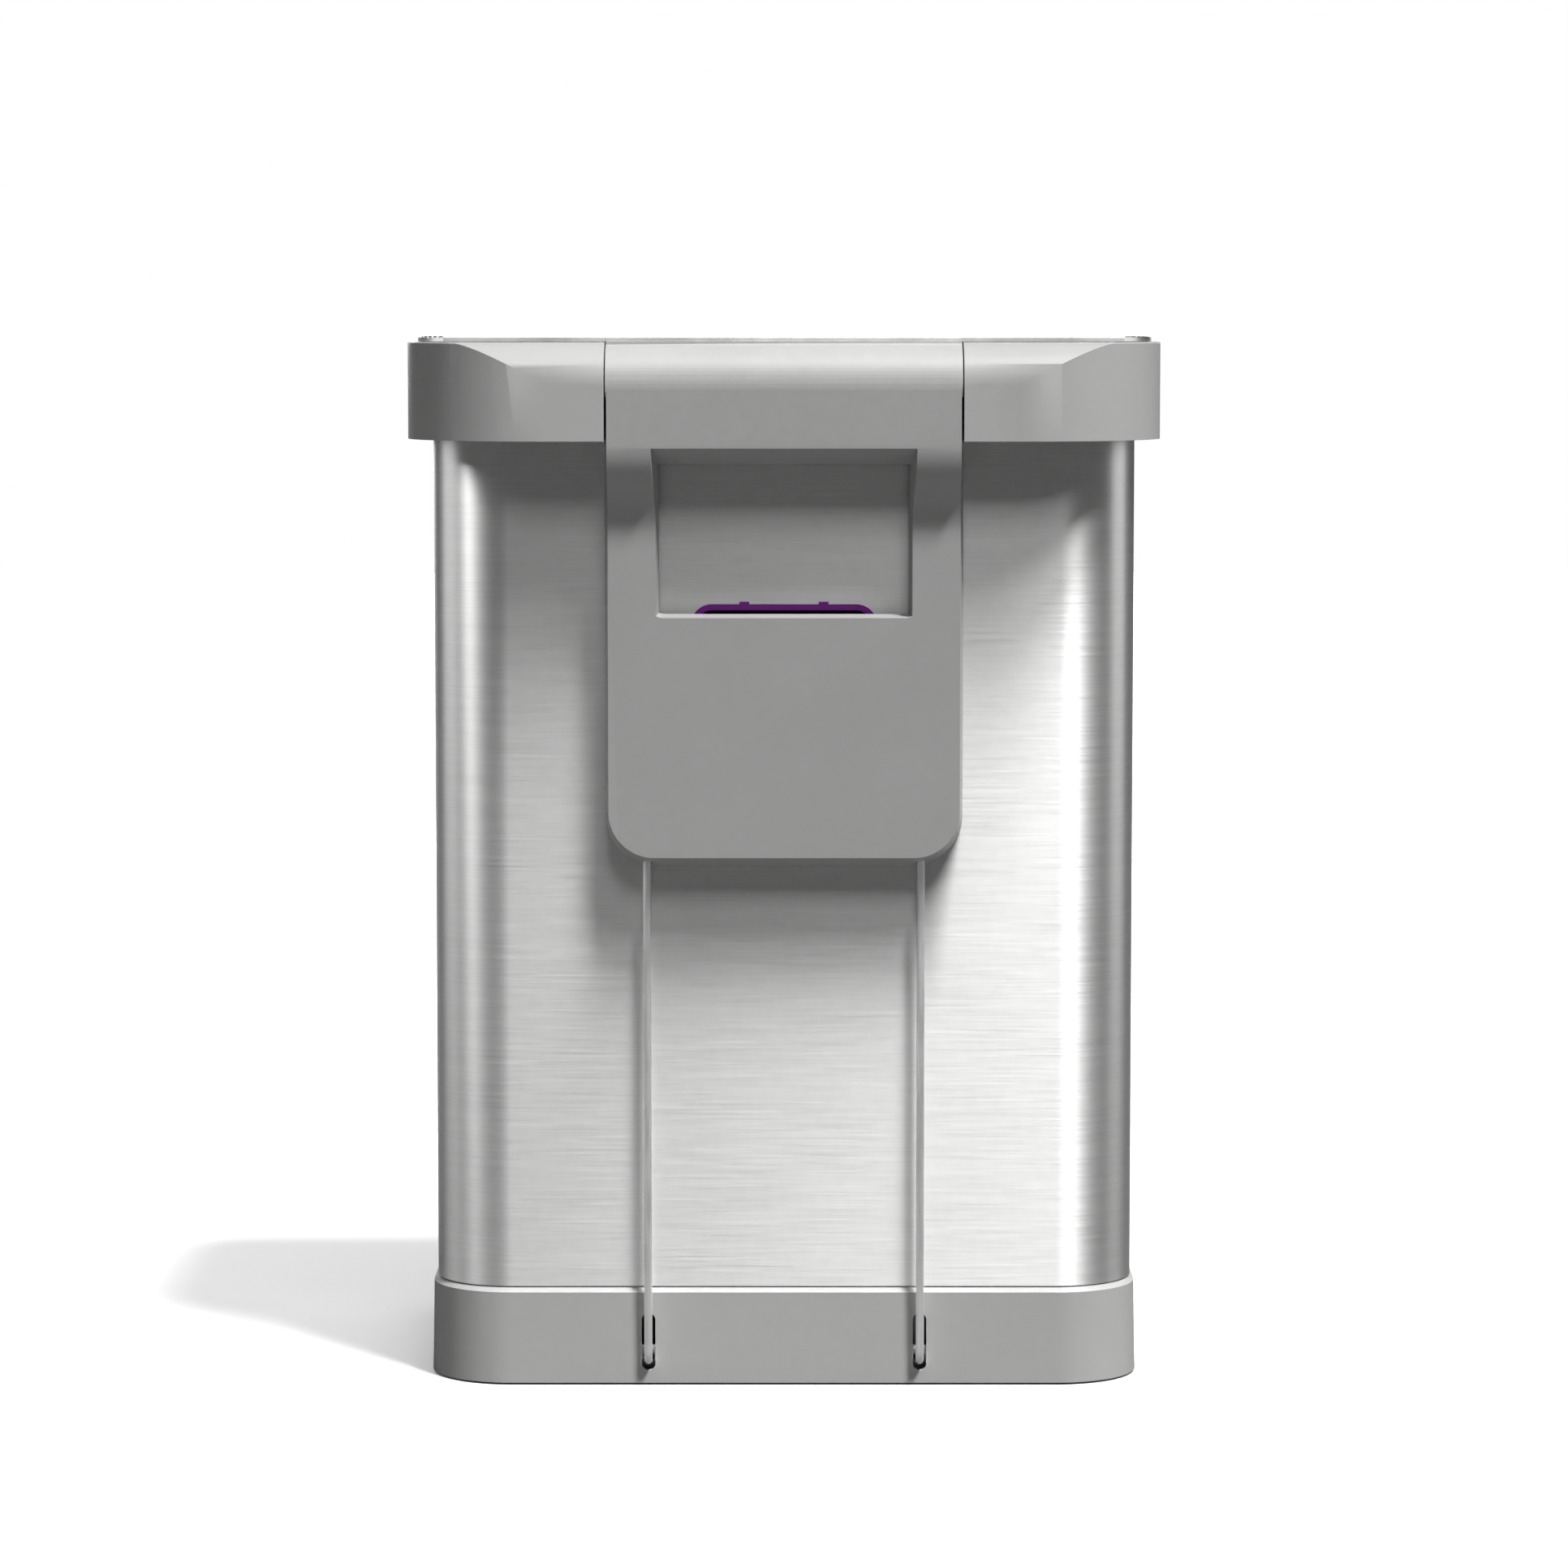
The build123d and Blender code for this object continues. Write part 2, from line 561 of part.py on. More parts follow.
def lift_rod(side):
    """Upright wire with its foot bent forwards into the base."""
    x = side * ROD_X
    down = Line((REAR_Y - ROD_DEPTH, ROD_TOP_Z), (REAR_Y - ROD_DEPTH, ROD_END_Z + 4))
    bend = TangentArc(down @ 1, (REAR_Y - ROD_DEPTH - 4, ROD_END_Z), tangent=down % 1)
    foot = Line(bend @ 1, (REAR_Y - ROD_END_DEPTH, ROD_END_Z))
    path = Pos(x, 0, 0) * (Plane.YZ * (down + bend + foot))
    section = Plane((x, REAR_Y - ROD_DEPTH, ROD_TOP_Z), x_dir=(1, 0, 0), z_dir=(0, 0, -1)) * Circle(ROD_R)
    return sweep(section, path)


def lift_yoke():
    pin_depth, pin_z = polar(CRANK_R, CRANK_ANGLE)
    post = block(63.2, 69.6, YOKE_NEAR, YOKE_FAR, YOKE_LOW, YOKE_HIGH)
    far_depth = HINGE_DEPTH + CRANK_R
    slot_length = far_depth - pin_depth + 2 * CRANK_PIN_R + 1.6
    middle = (far_depth + pin_depth) / 2
    slot_high = 2 * CRANK_PIN_R + 2.0
    post -= block(60, 72, middle - slot_length / 2, middle + slot_length / 2,
                  pin_z - slot_high / 2, pin_z + slot_high / 2)
    post -= upright_bar(ROD_R, ROD_X, ROD_DEPTH, YOKE_LOW - 1, ROD_TOP_Z)
    bar = block(0, 64, 38.2, YOKE_FAR, YOKE_LOW, YOKE_LOW + 4)
    return joined_pair(post + bar)


def damper_rod():
    rod = upright_bar(2.0, 0, DAMPER_DEPTH - 1, DAMPER_LOW + 30, YOKE_LOW)
    piston = upright_bar(2.9, 0, DAMPER_DEPTH - 1, DAMPER_LOW + 26, DAMPER_LOW + 30)
    return Pos(0, -1, 0) * (rod + piston)


# ---- lid ----------------------------------------------------------------------------------
RAISED = Vector(ARM_LENGTH, 0).rotate(Axis.Z, -ARM_TILT)
LOWERED = Vector(ARM_LENGTH, 0).rotate(Axis.Z, -ARM_TILT - ARM_SWING)
SLOT_RUN = RAISED.X - LOWERED.X        # travel of the arms' front pins along the depth
FRONT_PIN_DEPTH = ARM_DEPTH + RAISED.X
HEAD_PIVOT_Z = ARM_PIVOT_Z + RAISED.Y
SKIN = 0.8
PLATE_NEAR = 26.5


def lid_cover(inset, high, edge=0.0):
    """The lid's top, cut away behind where the barrel cover and the collar's soft edge are."""
    cover = lid_block(LID_MARGIN + inset, LID_MARGIN + inset, LID_UNDER, high)
    cover -= block(-200, 200, 0, HINGE_DEPTH + 1.7 + inset, LID_UNDER - 1, LID_TOP + 1)
    for left, right in ((-200, inset - BARREL_HALF), (BARREL_HALF - inset, 200)):
        cover -= block(left, right, 0, PLATE_NEAR + inset, LID_UNDER - 1, LID_TOP + 1)
    if edge:
        cover = fillet(cover.edges().group_by(Axis.Z)[-1], edge)
    gap = 1.5 + inset
    return cover - rounded_block(HEAD_HALF + gap, HEAD_NEAR - gap, HEAD_FAR + gap, LID_UNDER - 1, LID_TOP + 1,
                                 HEAD_CORNER + gap)


def lid_plate():
    """Steel skin with its edges turned down all round."""
    return lid_cover(0, LID_TOP, 1.2) - lid_cover(SKIN, LID_TOP - SKIN)


def lid_carrier():
    return lid_cover(SKIN + 0.1, LID_TOP - SKIN)


def slot_bracket(left, low, high, pin_z):
    """Plate with the level slot that an arm's front pin slides in."""
    far = FRONT_PIN_DEPTH + 7
    near = FRONT_PIN_DEPTH - SLOT_RUN - 7
    plate = block(left, left + BRACKET_THICK, near, far, low, high)
    slot = SlotCenterToCenter(SLOT_RUN + 1.2, 2 * (ARM_PIN_R + CLEAR))
    face = Plane.YZ * (Pos(REAR_Y - FRONT_PIN_DEPTH + SLOT_RUN / 2, pin_z) * slot)
    return plate - Pos(left - 1, 0, 0) * extrude(face, BRACKET_THICK + 2)


def lid_frame():
    walls = frame_ring(FRAME_HALF, FRAME_NEAR, FRAME_FAR, FRAME_LOW, LID_UNDER, FRAME_CORNER, 3.0)
    top = rounded_block(FRAME_HALF, FRAME_NEAR, FRAME_FAR, LID_UNDER - 3, LID_UNDER, FRAME_CORNER)
    top -= rounded_block(HEAD_HALF + 1.5, HEAD_NEAR - 1.5, HEAD_FAR + 1.5, FRAME_LOW, LID_UNDER + 1,
                         HEAD_CORNER + 1.5)
    lug = block(OUTER_BRACKET_X, OUTER_BRACKET_X + BRACKET_THICK, ARM_DEPTH - 5, ARM_DEPTH + 5,
                ARM_PIVOT_Z - 5.5, LID_UNDER - 2)
    guide = slot_bracket(INNER_BRACKET_X, ARM_PIVOT_Z - 6.5, LID_UNDER - 2, ARM_PIVOT_Z)
    reach = OUTER_BRACKET_X + BRACKET_THICK + 1
    frame = walls + top + joined_pair(lug + guide)
    return frame - cross_bar(ARM_PIN_R + FIT, -reach, reach, ARM_DEPTH, ARM_PIVOT_Z)


def lid_seal():
    grow = 1.9
    return frame_ring(FRAME_HALF + grow, FRAME_NEAR - grow, FRAME_FAR + grow, 494.0, 498.0,
                      FRAME_CORNER + grow, 1.8)


def hinge_barrel():
    """Part-round cover over the hinge, turning with the lid."""
    cover = hollow_cylinder(BARREL_R, BARREL_R - 2.6, -BARREL_HALF, BARREL_HALF, HINGE_DEPTH, HINGE_Z)
    ends = cross_bar(BARREL_R, BARREL_HALF - 2.4, BARREL_HALF, HINGE_DEPTH, HINGE_Z)
    cover += both_sides(ends)
    far = 60.0
    wedge = [(HINGE_DEPTH, HINGE_Z), polar(far, 196), polar(far, 150), polar(far, 120), polar(far, 88)]
    cover = cover & side_profile(wedge, -100, 100)
    ridge = block(-BARREL_HALF, BARREL_HALF, HINGE_DEPTH - 3, HINGE_DEPTH + 1.5,
                  HINGE_Z + BARREL_R - 2.6, LID_UNDER)
    return cover + ridge


def hinge_arms():
    """Webs that carry the lid on its hinge pin, with the cranks beside them."""
    web_shape = [(14.5, 488), (17.5, LID_UNDER - 4.3), (24, LID_UNDER), (FRAME_NEAR, LID_UNDER),
                 (FRAME_NEAR, LID_UNDER - 7), (34, LID_UNDER - 7), (27, 487)]
    webs = side_profile(web_shape, 46, 51) + side_profile(web_shape, 14, 19)
    webs += side_profile(web_shape, 71, 75)
    # the tubes leave a gap for the lifting yoke and its rod, which rise past the hinge pin
    tube = cross_bar(6.5, KNUCKLE_RIGHT + CLEAR, 61, HINGE_DEPTH, HINGE_Z)
    tube += cross_bar(6.5, 70.6, 76, HINGE_DEPTH, HINGE_Z)
    centre = cross_bar(6.5, 0, KNUCKLE_LEFT - CLEAR, HINGE_DEPTH, HINGE_Z)
    crank = link_plate((HINGE_DEPTH, HINGE_Z), polar(CRANK_R, CRANK_ANGLE), 5.0, 71, 75)
    crank += cross_bar(CRANK_PIN_R, 62.6, 73, *polar(CRANK_R, CRANK_ANGLE))
    tie = block(0, 76, 24, FRAME_NEAR, LID_UNDER - 2.5, LID_UNDER)
    half = webs + tube + centre + crank + tie
    arms = joined_pair(half) - cross_bar(HINGE_PIN_R + FIT, -90, 90, HINGE_DEPTH, HINGE_Z)
    return arms - block(-90, 90, 10, HINGE_DEPTH + 1.5, HINGE_Z + BARREL_R - 2.6, LID_UNDER + 1)


def press_springs():
    return both_sides(torsion_coil(5.2, 0.8, 6, 96, 108, ARM_DEPTH, ARM_PIVOT_Z))


# ---- press --------------------------------------------------------------------------------
OUTER_REAR = (ARM_DEPTH, ARM_PIVOT_Z)
OUTER_FRONT = (FRONT_PIN_DEPTH, HEAD_PIVOT_Z)
INNER_REAR = (ARM_DEPTH, HEAD_PIVOT_Z)
INNER_FRONT = (FRONT_PIN_DEPTH, ARM_PIVOT_Z)
CENTRE = ((ARM_DEPTH + FRONT_PIN_DEPTH) / 2, (ARM_PIVOT_Z + HEAD_PIVOT_Z) / 2)


def outer_arms():
    arm = link_plate(OUTER_REAR, OUTER_FRONT, ARM_HEIGHT / 2, OUTER_ARM_X, OUTER_ARM_X + ARM_THICK)
    arm -= cross_bar(ARM_PIN_R, OUTER_ARM_X - 1, OUTER_ARM_X + ARM_THICK + 1, *OUTER_REAR)
    arm -= cross_bar(ARM_PIN_R, OUTER_ARM_X - 1, OUTER_ARM_X + ARM_THICK + 1, *CENTRE)
    arm += cross_bar(ARM_PIN_R, OUTER_ARM_X + ARM_THICK, OUTER_BRACKET_X + BRACKET_THICK, *OUTER_FRONT)
    return both_sides(arm)


def outer_shaft():
    reach = OUTER_BRACKET_X + BRACKET_THICK
    return cross_bar(ARM_PIN_R, -reach, reach, *OUTER_REAR)


def centre_pins():
    pin = cross_bar(ARM_PIN_R, INNER_ARM_X - 1.5, OUTER_ARM_X + ARM_THICK, *CENTRE)
    pin += cross_bar(ARM_PIN_R + 1.5, INNER_ARM_X - 3, INNER_ARM_X - 0.3, *CENTRE)
    return both_sides(pin)


def inner_arms():
    arm = link_plate(INNER_REAR, INNER_FRONT, ARM_HEIGHT / 2, INNER_ARM_X, INNER_ARM_X + ARM_THICK)
    arm -= cross_bar(ARM_PIN_R + FIT, INNER_ARM_X - 1, INNER_ARM_X + ARM_THICK + 1, *CENTRE)
    arm -= cross_bar(ARM_PIN_R, INNER_ARM_X - 1, INNER_ARM_X + ARM_THICK + 1, *INNER_REAR)
    arm += cross_bar(ARM_PIN_R, INNER_BRACKET_X, INNER_ARM_X, *INNER_FRONT)
    return both_sides(arm)


def inner_shaft():
    reach = INNER_ARM_X + ARM_THICK
    return cross_bar(ARM_PIN_R, -reach, reach, *INNER_REAR)


HEAD_WALL = 2.5
WELL_HALF = 68.0
WELL_NEAR = 108.0
WELL_FAR = 178.0
WELL_CORNER = 10.0
HANDLE_PIVOT = (118.5, 500.0)


def press_head():
    top = LID_TOP - SKIN
    deck = rounded_block(DECK_HALF, DECK_NEAR, DECK_FAR, DECK_LOW, DECK_TOP, DECK_CORNER)
    box = rounded_block(HEAD_HALF, HEAD_NEAR, HEAD_FAR, DECK_LOW, LID_UNDER, HEAD_CORNER)
    under_skin = SKIN + 0.1
    box += rounded_block(HEAD_HALF - under_skin, HEAD_NEAR + under_skin, HEAD_FAR - under_skin, LID_UNDER - 1,
                         top, HEAD_CORNER - under_skin)
    box -= rounded_block(HEAD_HALF - HEAD_WALL, HEAD_NEAR + HEAD_WALL, HEAD_FAR - HEAD_WALL, DECK_TOP,
                         top - HEAD_WALL, HEAD_CORNER - HEAD_WALL)
    box -= rounded_block(WELL_HALF + 0.1, WELL_NEAR - 0.1, WELL_FAR + 0.1, 489.0, LID_TOP + 1,
                         WELL_CORNER + 0.1)
    lug = block(INNER_BRACKET_X, INNER_BRACKET_X + BRACKET_THICK, ARM_DEPTH - 5, ARM_DEPTH + 5,
                DECK_LOW, HEAD_PIVOT_Z + 5.5)
    lug -= cross_bar(ARM_PIN_R + FIT, INNER_BRACKET_X - 1, INNER_BRACKET_X + BRACKET_THICK + 1, *INNER_REAR)
    guide = slot_bracket(OUTER_BRACKET_X, DECK_LOW, HEAD_PIVOT_Z + 6.5, HEAD_PIVOT_Z)
    return deck + box + joined_pair(lug + guide)


def press_skin():
    skin = rounded_block(HEAD_HALF, HEAD_NEAR, HEAD_FAR, LID_UNDER, LID_TOP, HEAD_CORNER)
    skin = fillet(skin.edges().group_by(Axis.Z)[-1], 1.0)
    skin -= rounded_block(HEAD_HALF - SKIN, HEAD_NEAR + SKIN, HEAD_FAR - SKIN, LID_UNDER - 1, LID_TOP - SKIN,
                          HEAD_CORNER - SKIN)
    return skin - rounded_block(WELL_HALF + 0.1, WELL_NEAR - 0.1, WELL_FAR + 0.1, LID_UNDER - 1, LID_TOP + 1,
                                WELL_CORNER + 0.1)


def handle_well():
    well = rounded_block(WELL_HALF, WELL_NEAR, WELL_FAR, 490.0, LID_TOP - 0.6, WELL_CORNER)
    well -= rounded_block(WELL_HALF - 2, WELL_NEAR + 2, WELL_FAR - 2, 492.0, LID_TOP + 1, WELL_CORNER - 2)
    for side in (-1, 1):
        well -= cross_bar(2.5, side * WELL_HALF - 3, side * WELL_HALF + 3, *HANDLE_PIVOT)
    return well


def handle_pins():
    return both_sides(cross_bar(2.5, 51, WELL_HALF, *HANDLE_PIVOT))


def press_handle():
    """Fold-flat bail: two legs and a rounded grip."""
    leg = link_plate(HANDLE_PIVOT, (166, 500.0), 4.5, 52, 60)
    leg -= cross_bar(2.5 + FIT, 50, 62, *HANDLE_PIVOT)
    grip = cross_bar(5.5, 0, 60, 166, 500.0)
    return joined_pair(leg + grip)


def compaction_plate():
    plate = rounded_block(DECK_HALF, DECK_NEAR, DECK_FAR, 464.0, DECK_LOW, DECK_CORNER)
    rib_step = 15.0
    for index in range(-8, 9):
        middle = index * rib_step
        plate += block(middle - 1.5, middle + 1.5, DECK_NEAR + 14, DECK_FAR - 14, 461.5, 464.0)
    pocket = block(-52, 52, 120, 182, 460, DECK_LOW + 1)
    return plate - pocket


def charcoal_filter():
    return rounded_block(48, 124, 178, 463.6, DECK_LOW, 4)


def filter_cover():
    cover = block(-51.6, 51.6, 120.4, 181.6, 461.5, DECK_LOW)
    cover -= block(-49, 49, 123, 179, 463.5, DECK_LOW + 1)
    for index in range(-5, 6):
        cover -= block(index * 8.5 - 1.5, index * 8.5 + 1.5, 130, 172, 461, 464)
    return cover


def head_screws():
    spots = [(sx * 100, near) for sx in (-1, 1) for near in (90, 212)]
    return Compound([upright_bar(4, x, depth, DECK_TOP, DECK_TOP + 2.5) for x, depth in spots])


# ---- the parts ----------------------------------------------------------------------------
PARTS = {
    "base_plinth": base_plinth, "base_pan": base_pan, "rubber_feet": rubber_feet, "base_screws": base_screws,
    "pedal_pivot_pin": pedal_pivot_pin, "pedal_lever": pedal_lever, "pedal_pad": pedal_pad,
    "pedal_spring": pedal_spring, "body_shell": body_shell, "shell_floor": shell_floor,
    "liner_port_bezel": liner_port_bezel, "liner_pocket": liner_pocket, "inner_bucket": inner_bucket,
    "liner_ring": liner_ring, "collar": collar, "rear_housing": rear_housing,
    "housing_screws": housing_screws, "hinge_bracket": hinge_bracket, "hinge_screws": hinge_screws, "hinge_pin": hinge_pin,
    "rod_guides": rod_guides, "damper_cylinder": damper_cylinder,
    "lift_rod_left": lambda: lift_rod(-1), "lift_rod_right": lambda: lift_rod(1), "lift_yoke": lift_yoke,
    "damper_rod": damper_rod, "lid_plate": lid_plate, "lid_carrier": lid_carrier, "lid_frame": lid_frame,
    "lid_seal": lid_seal, "hinge_barrel": hinge_barrel, "hinge_arms": hinge_arms,
    "press_springs": press_springs,
    "outer_arms": outer_arms, "outer_shaft": outer_shaft, "centre_pins": centre_pins,
    "inner_arms": inner_arms, "inner_shaft": inner_shaft, "press_head": press_head, "press_skin": press_skin,
    "handle_well": handle_well, "handle_pins": handle_pins, "press_handle": press_handle,
    "compaction_plate": compaction_plate, "charcoal_filter": charcoal_filter, "filter_cover": filter_cover,
    "head_screws": head_screws,
}

os.makedirs("parts", exist_ok=True)
for name, make in PARTS.items():
    export_step(make(), f"parts/{name}.step")
    print(name)
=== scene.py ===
# %% [markdown]
# # A pedal trash compactor, finished for display
# The bin is a brushed steel sleeve between a moulded base and a moulded collar. A long plastic
# housing covers the lid's hinge and two steel rods that the pedal pushes up. The frame below
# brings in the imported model, whose shapes and places are already right. The cells that follow
# soften its edges, make again what repeats or follows a path, and give each piece its finish.

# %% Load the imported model
import json
import math

import bmesh
import bpy
from mathutils import Matrix, Vector


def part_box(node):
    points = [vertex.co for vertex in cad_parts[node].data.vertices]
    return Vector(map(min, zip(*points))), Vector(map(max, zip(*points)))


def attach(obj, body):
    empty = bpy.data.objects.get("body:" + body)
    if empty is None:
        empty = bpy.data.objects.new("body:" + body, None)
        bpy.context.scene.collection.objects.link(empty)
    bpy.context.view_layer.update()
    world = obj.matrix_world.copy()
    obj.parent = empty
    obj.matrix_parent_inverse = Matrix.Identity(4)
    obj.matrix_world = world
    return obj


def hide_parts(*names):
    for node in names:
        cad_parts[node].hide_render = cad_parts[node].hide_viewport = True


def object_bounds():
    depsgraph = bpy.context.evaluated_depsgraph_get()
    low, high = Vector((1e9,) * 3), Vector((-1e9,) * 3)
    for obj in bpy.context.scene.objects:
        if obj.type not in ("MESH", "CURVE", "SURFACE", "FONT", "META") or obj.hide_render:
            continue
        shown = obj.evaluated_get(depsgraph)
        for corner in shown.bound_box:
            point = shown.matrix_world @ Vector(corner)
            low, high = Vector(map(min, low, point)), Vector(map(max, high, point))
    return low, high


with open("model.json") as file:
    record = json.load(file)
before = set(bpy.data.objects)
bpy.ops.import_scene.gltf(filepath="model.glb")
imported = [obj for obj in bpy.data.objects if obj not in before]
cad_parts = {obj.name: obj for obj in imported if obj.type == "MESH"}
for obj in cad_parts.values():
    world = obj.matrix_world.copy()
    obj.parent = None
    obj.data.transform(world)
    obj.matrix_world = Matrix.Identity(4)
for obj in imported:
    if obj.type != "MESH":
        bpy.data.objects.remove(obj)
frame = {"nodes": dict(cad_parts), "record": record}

MM = 0.001
CAD_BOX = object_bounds()
REAR_Y = CAD_BOX[1].y
WHOLE_SIZE = [round(v / MM) for v in CAD_BOX[1] - CAD_BOX[0]]
print("packed model:", len(frame["nodes"]), "nodes,", WHOLE_SIZE, "mm")

# %% [markdown]
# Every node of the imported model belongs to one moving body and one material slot. Two lookups
# keep those facts, so that no later cell has to repeat them. Each new piece asks them where it
# rides and which slot it takes its finish from.

# %% Look up bodies and slots
BODIES = frame["record"]["behaviour"]["bodies"]
BODY_OF = {node: body for body, nodes in BODIES.items() for node in nodes}
SLOT_OF = {node: thing.data.materials[0].name.split(".")[0]
           for node, thing in frame["nodes"].items()}
print("slots:", sorted(set(SLOT_OF.values())))

# %% [markdown]
# ## Studio
# The bin stands on a white floor that runs out to a white horizon. A soft dome of light comes
# from all sides, brighter above than at the horizon, because a real tent of diffusing cloth is
# lit from its roof. The world's own nodes make it, show plain white behind the bin, and let
# shiny surfaces mirror only a share of it, so that the steel keeps its contrast.

# %% Make the white surroundings
scene = bpy.context.scene
scene.view_settings.view_transform = "Standard"


def add(tree, kind, inputs=None, **settings):
    """One node with its settings and the values of its unlinked inputs."""
    made = tree.nodes.new(kind)
    for name, value in settings.items():
        setattr(made, name, value)
    for name, value in (inputs or {}).items():
        made.inputs[name].default_value = value
    return made


def soft_dome(horizon, zenith, mirrored_share):
    world = bpy.data.worlds.new("white_tent")
    world.use_nodes = True
    tree = world.node_tree
    tree.nodes.clear()
    place = add(tree, "ShaderNodeTexCoord")
    split = add(tree, "ShaderNodeSeparateXYZ")
    rise = add(tree, "ShaderNodeMapRange", {
        "From Min": -0.1, "From Max": 0.9, "To Min": horizon, "To Max": zenith})
    glow = add(tree, "ShaderNodeBackground")
    plain = add(tree, "ShaderNodeBackground", {"Strength": 1.0, "Color": (1, 1, 1, 1)})
    seen = add(tree, "ShaderNodeLightPath")
    mirrored = add(tree, "ShaderNodeMapRange", {"To Min": 1.0, "To Max": mirrored_share})
    dimmed = add(tree, "ShaderNodeMath", operation="MULTIPLY")
    mix = add(tree, "ShaderNodeMixShader")
    out = add(tree, "ShaderNodeOutputWorld")
    tree.links.new(seen.outputs["Is Glossy Ray"], mirrored.inputs["Value"])
    tree.links.new(mirrored.outputs[0], dimmed.inputs[1])
    tree.links.new(place.outputs["Generated"], split.inputs[0])
    tree.links.new(split.outputs["Z"], rise.inputs["Value"])
    tree.links.new(rise.outputs[0], dimmed.inputs[0])
    tree.links.new(dimmed.outputs[0], glow.inputs["Strength"])
    tree.links.new(seen.outputs["Is Camera Ray"], mix.inputs["Fac"])
    tree.links.new(glow.outputs[0], mix.inputs[1])
    tree.links.new(plain.outputs[0], mix.inputs[2])
    tree.links.new(mix.outputs[0], out.inputs["Surface"])
    return world


MIRRORED_SHARE = 0.25
HORIZON_GLOW = 0.13
ZENITH_GLOW = 0.3
scene.world = soft_dome(HORIZON_GLOW, ZENITH_GLOW, MIRRORED_SHARE)
print("dome from", HORIZON_GLOW, "to", ZENITH_GLOW)

# %% [markdown]
# ## Lamps
# One strong lamp stands high to the right and a little behind the viewer. It throws the bin's
# shadow to the left and lights the rounded top of the hinge cover. It is a sun lamp with a wide
# disc, so its shadow is soft far away and crisp where the bin touches the floor. Brushed steel
# answers light far more strongly than grey plastic, and one set of lamps can't suit both. Light
# linking gives the steel its own: a second sun, a fill, two side glows and an upright strip that
# draws the long bright line down one corner. The steel on top also gets a panel in front.

# %% Place the lamps
KEY_TURN = 42.0
KEY_HEIGHT = 62.0
STEEL_KEY_HEIGHT = 74.0
BODY_MIDDLE = Vector((0, 0, 0.3))


def away(turn, height, reach=3.0):
    """Point at a turn to the right of straight behind, and a height above level, in degrees."""
    turn, height = math.radians(turn), math.radians(height)
    level = reach * math.cos(height)
    return Vector((-level * math.sin(turn), level * math.cos(turn), reach * math.sin(height)))


def lamp(name, kind, place, energy, **settings):
    """A lamp that faces the middle of the bin and isn't seen itself."""
    data = bpy.data.lights.new(name, kind)
    data.energy = energy
    for key, value in settings.items():
        setattr(data, key, value)
    thing = bpy.data.objects.new(name, data)
    thing.location = place
    aim = BODY_MIDDLE - Vector(place)
    thing.rotation_euler = aim.to_track_quat("-Z", "Y").to_euler()
    thing.visible_camera = False
    scene.collection.objects.link(thing)
    return thing


def panel(name, place, energy, width, height):
    """A flat rectangular lamp that faces the bin."""
    return lamp(name, "AREA", place, energy, shape="RECTANGLE", size=width, size_y=height)


steel_parts = bpy.data.collections.new("steel_parts")
lid_parts = bpy.data.collections.new("lid_parts")
key_place = BODY_MIDDLE + away(KEY_TURN, KEY_HEIGHT)
steel_key_place = BODY_MIDDLE + away(KEY_TURN, STEEL_KEY_HEIGHT)
lamp("key", "SUN", key_place, 4.7, angle=math.radians(10))
panel("front_fill", (0.7, -2.8, 0.95), 26, 1.4, 0.9)
steel_lamps = [
    lamp("steel_key", "SUN", steel_key_place, 10.4, angle=math.radians(13)),
    panel("steel_fill", away(8.0, 52.0), 18, 0.9, 0.7),
    panel("left_strip", (1.45, 0.45, 1.65), 36, 0.14, 0.8),
    panel("side_glow_left", (2.0, -0.4, 0.8), 6, 1.1, 1.3),
    panel("side_glow_right", (-2.0, -0.4, 0.8), 6, 1.1, 1.3),
]
for steel_lamp in steel_lamps:
    steel_lamp.light_linking.receiver_collection = steel_parts
back_panel = panel("back_panel", (0, -2.6, 0.9), 40, 2.6, 1.4)
back_panel.light_linking.receiver_collection = lid_parts
print(len(steel_lamps), "lamps for the steel alone")

# %% [markdown]
# ## Floor
# The floor is a wide sheet of white card. It is a stage piece and not part of the bin. The viewer
# sees it nearly pure white. A painted glow lifts the bin's shadow on it, and an Ambient Occlusion
# node dims that glow into painted shade close to the base. To every other ray it is a dim card, so
# that it doesn't flood the grey plastics with light from below; a Light Path node tells the two
# apart.

# %% Lay the floor
FLOOR_HALF = 8.0


# painted glow: emission seen by the camera that lifts the bin's shadow on the floor
PAINTED_FLOOR_GLOW = 0.4
# how far from the base the painted shade in the floor's glow reaches
PAINTED_SHADE_REACH = 0.3


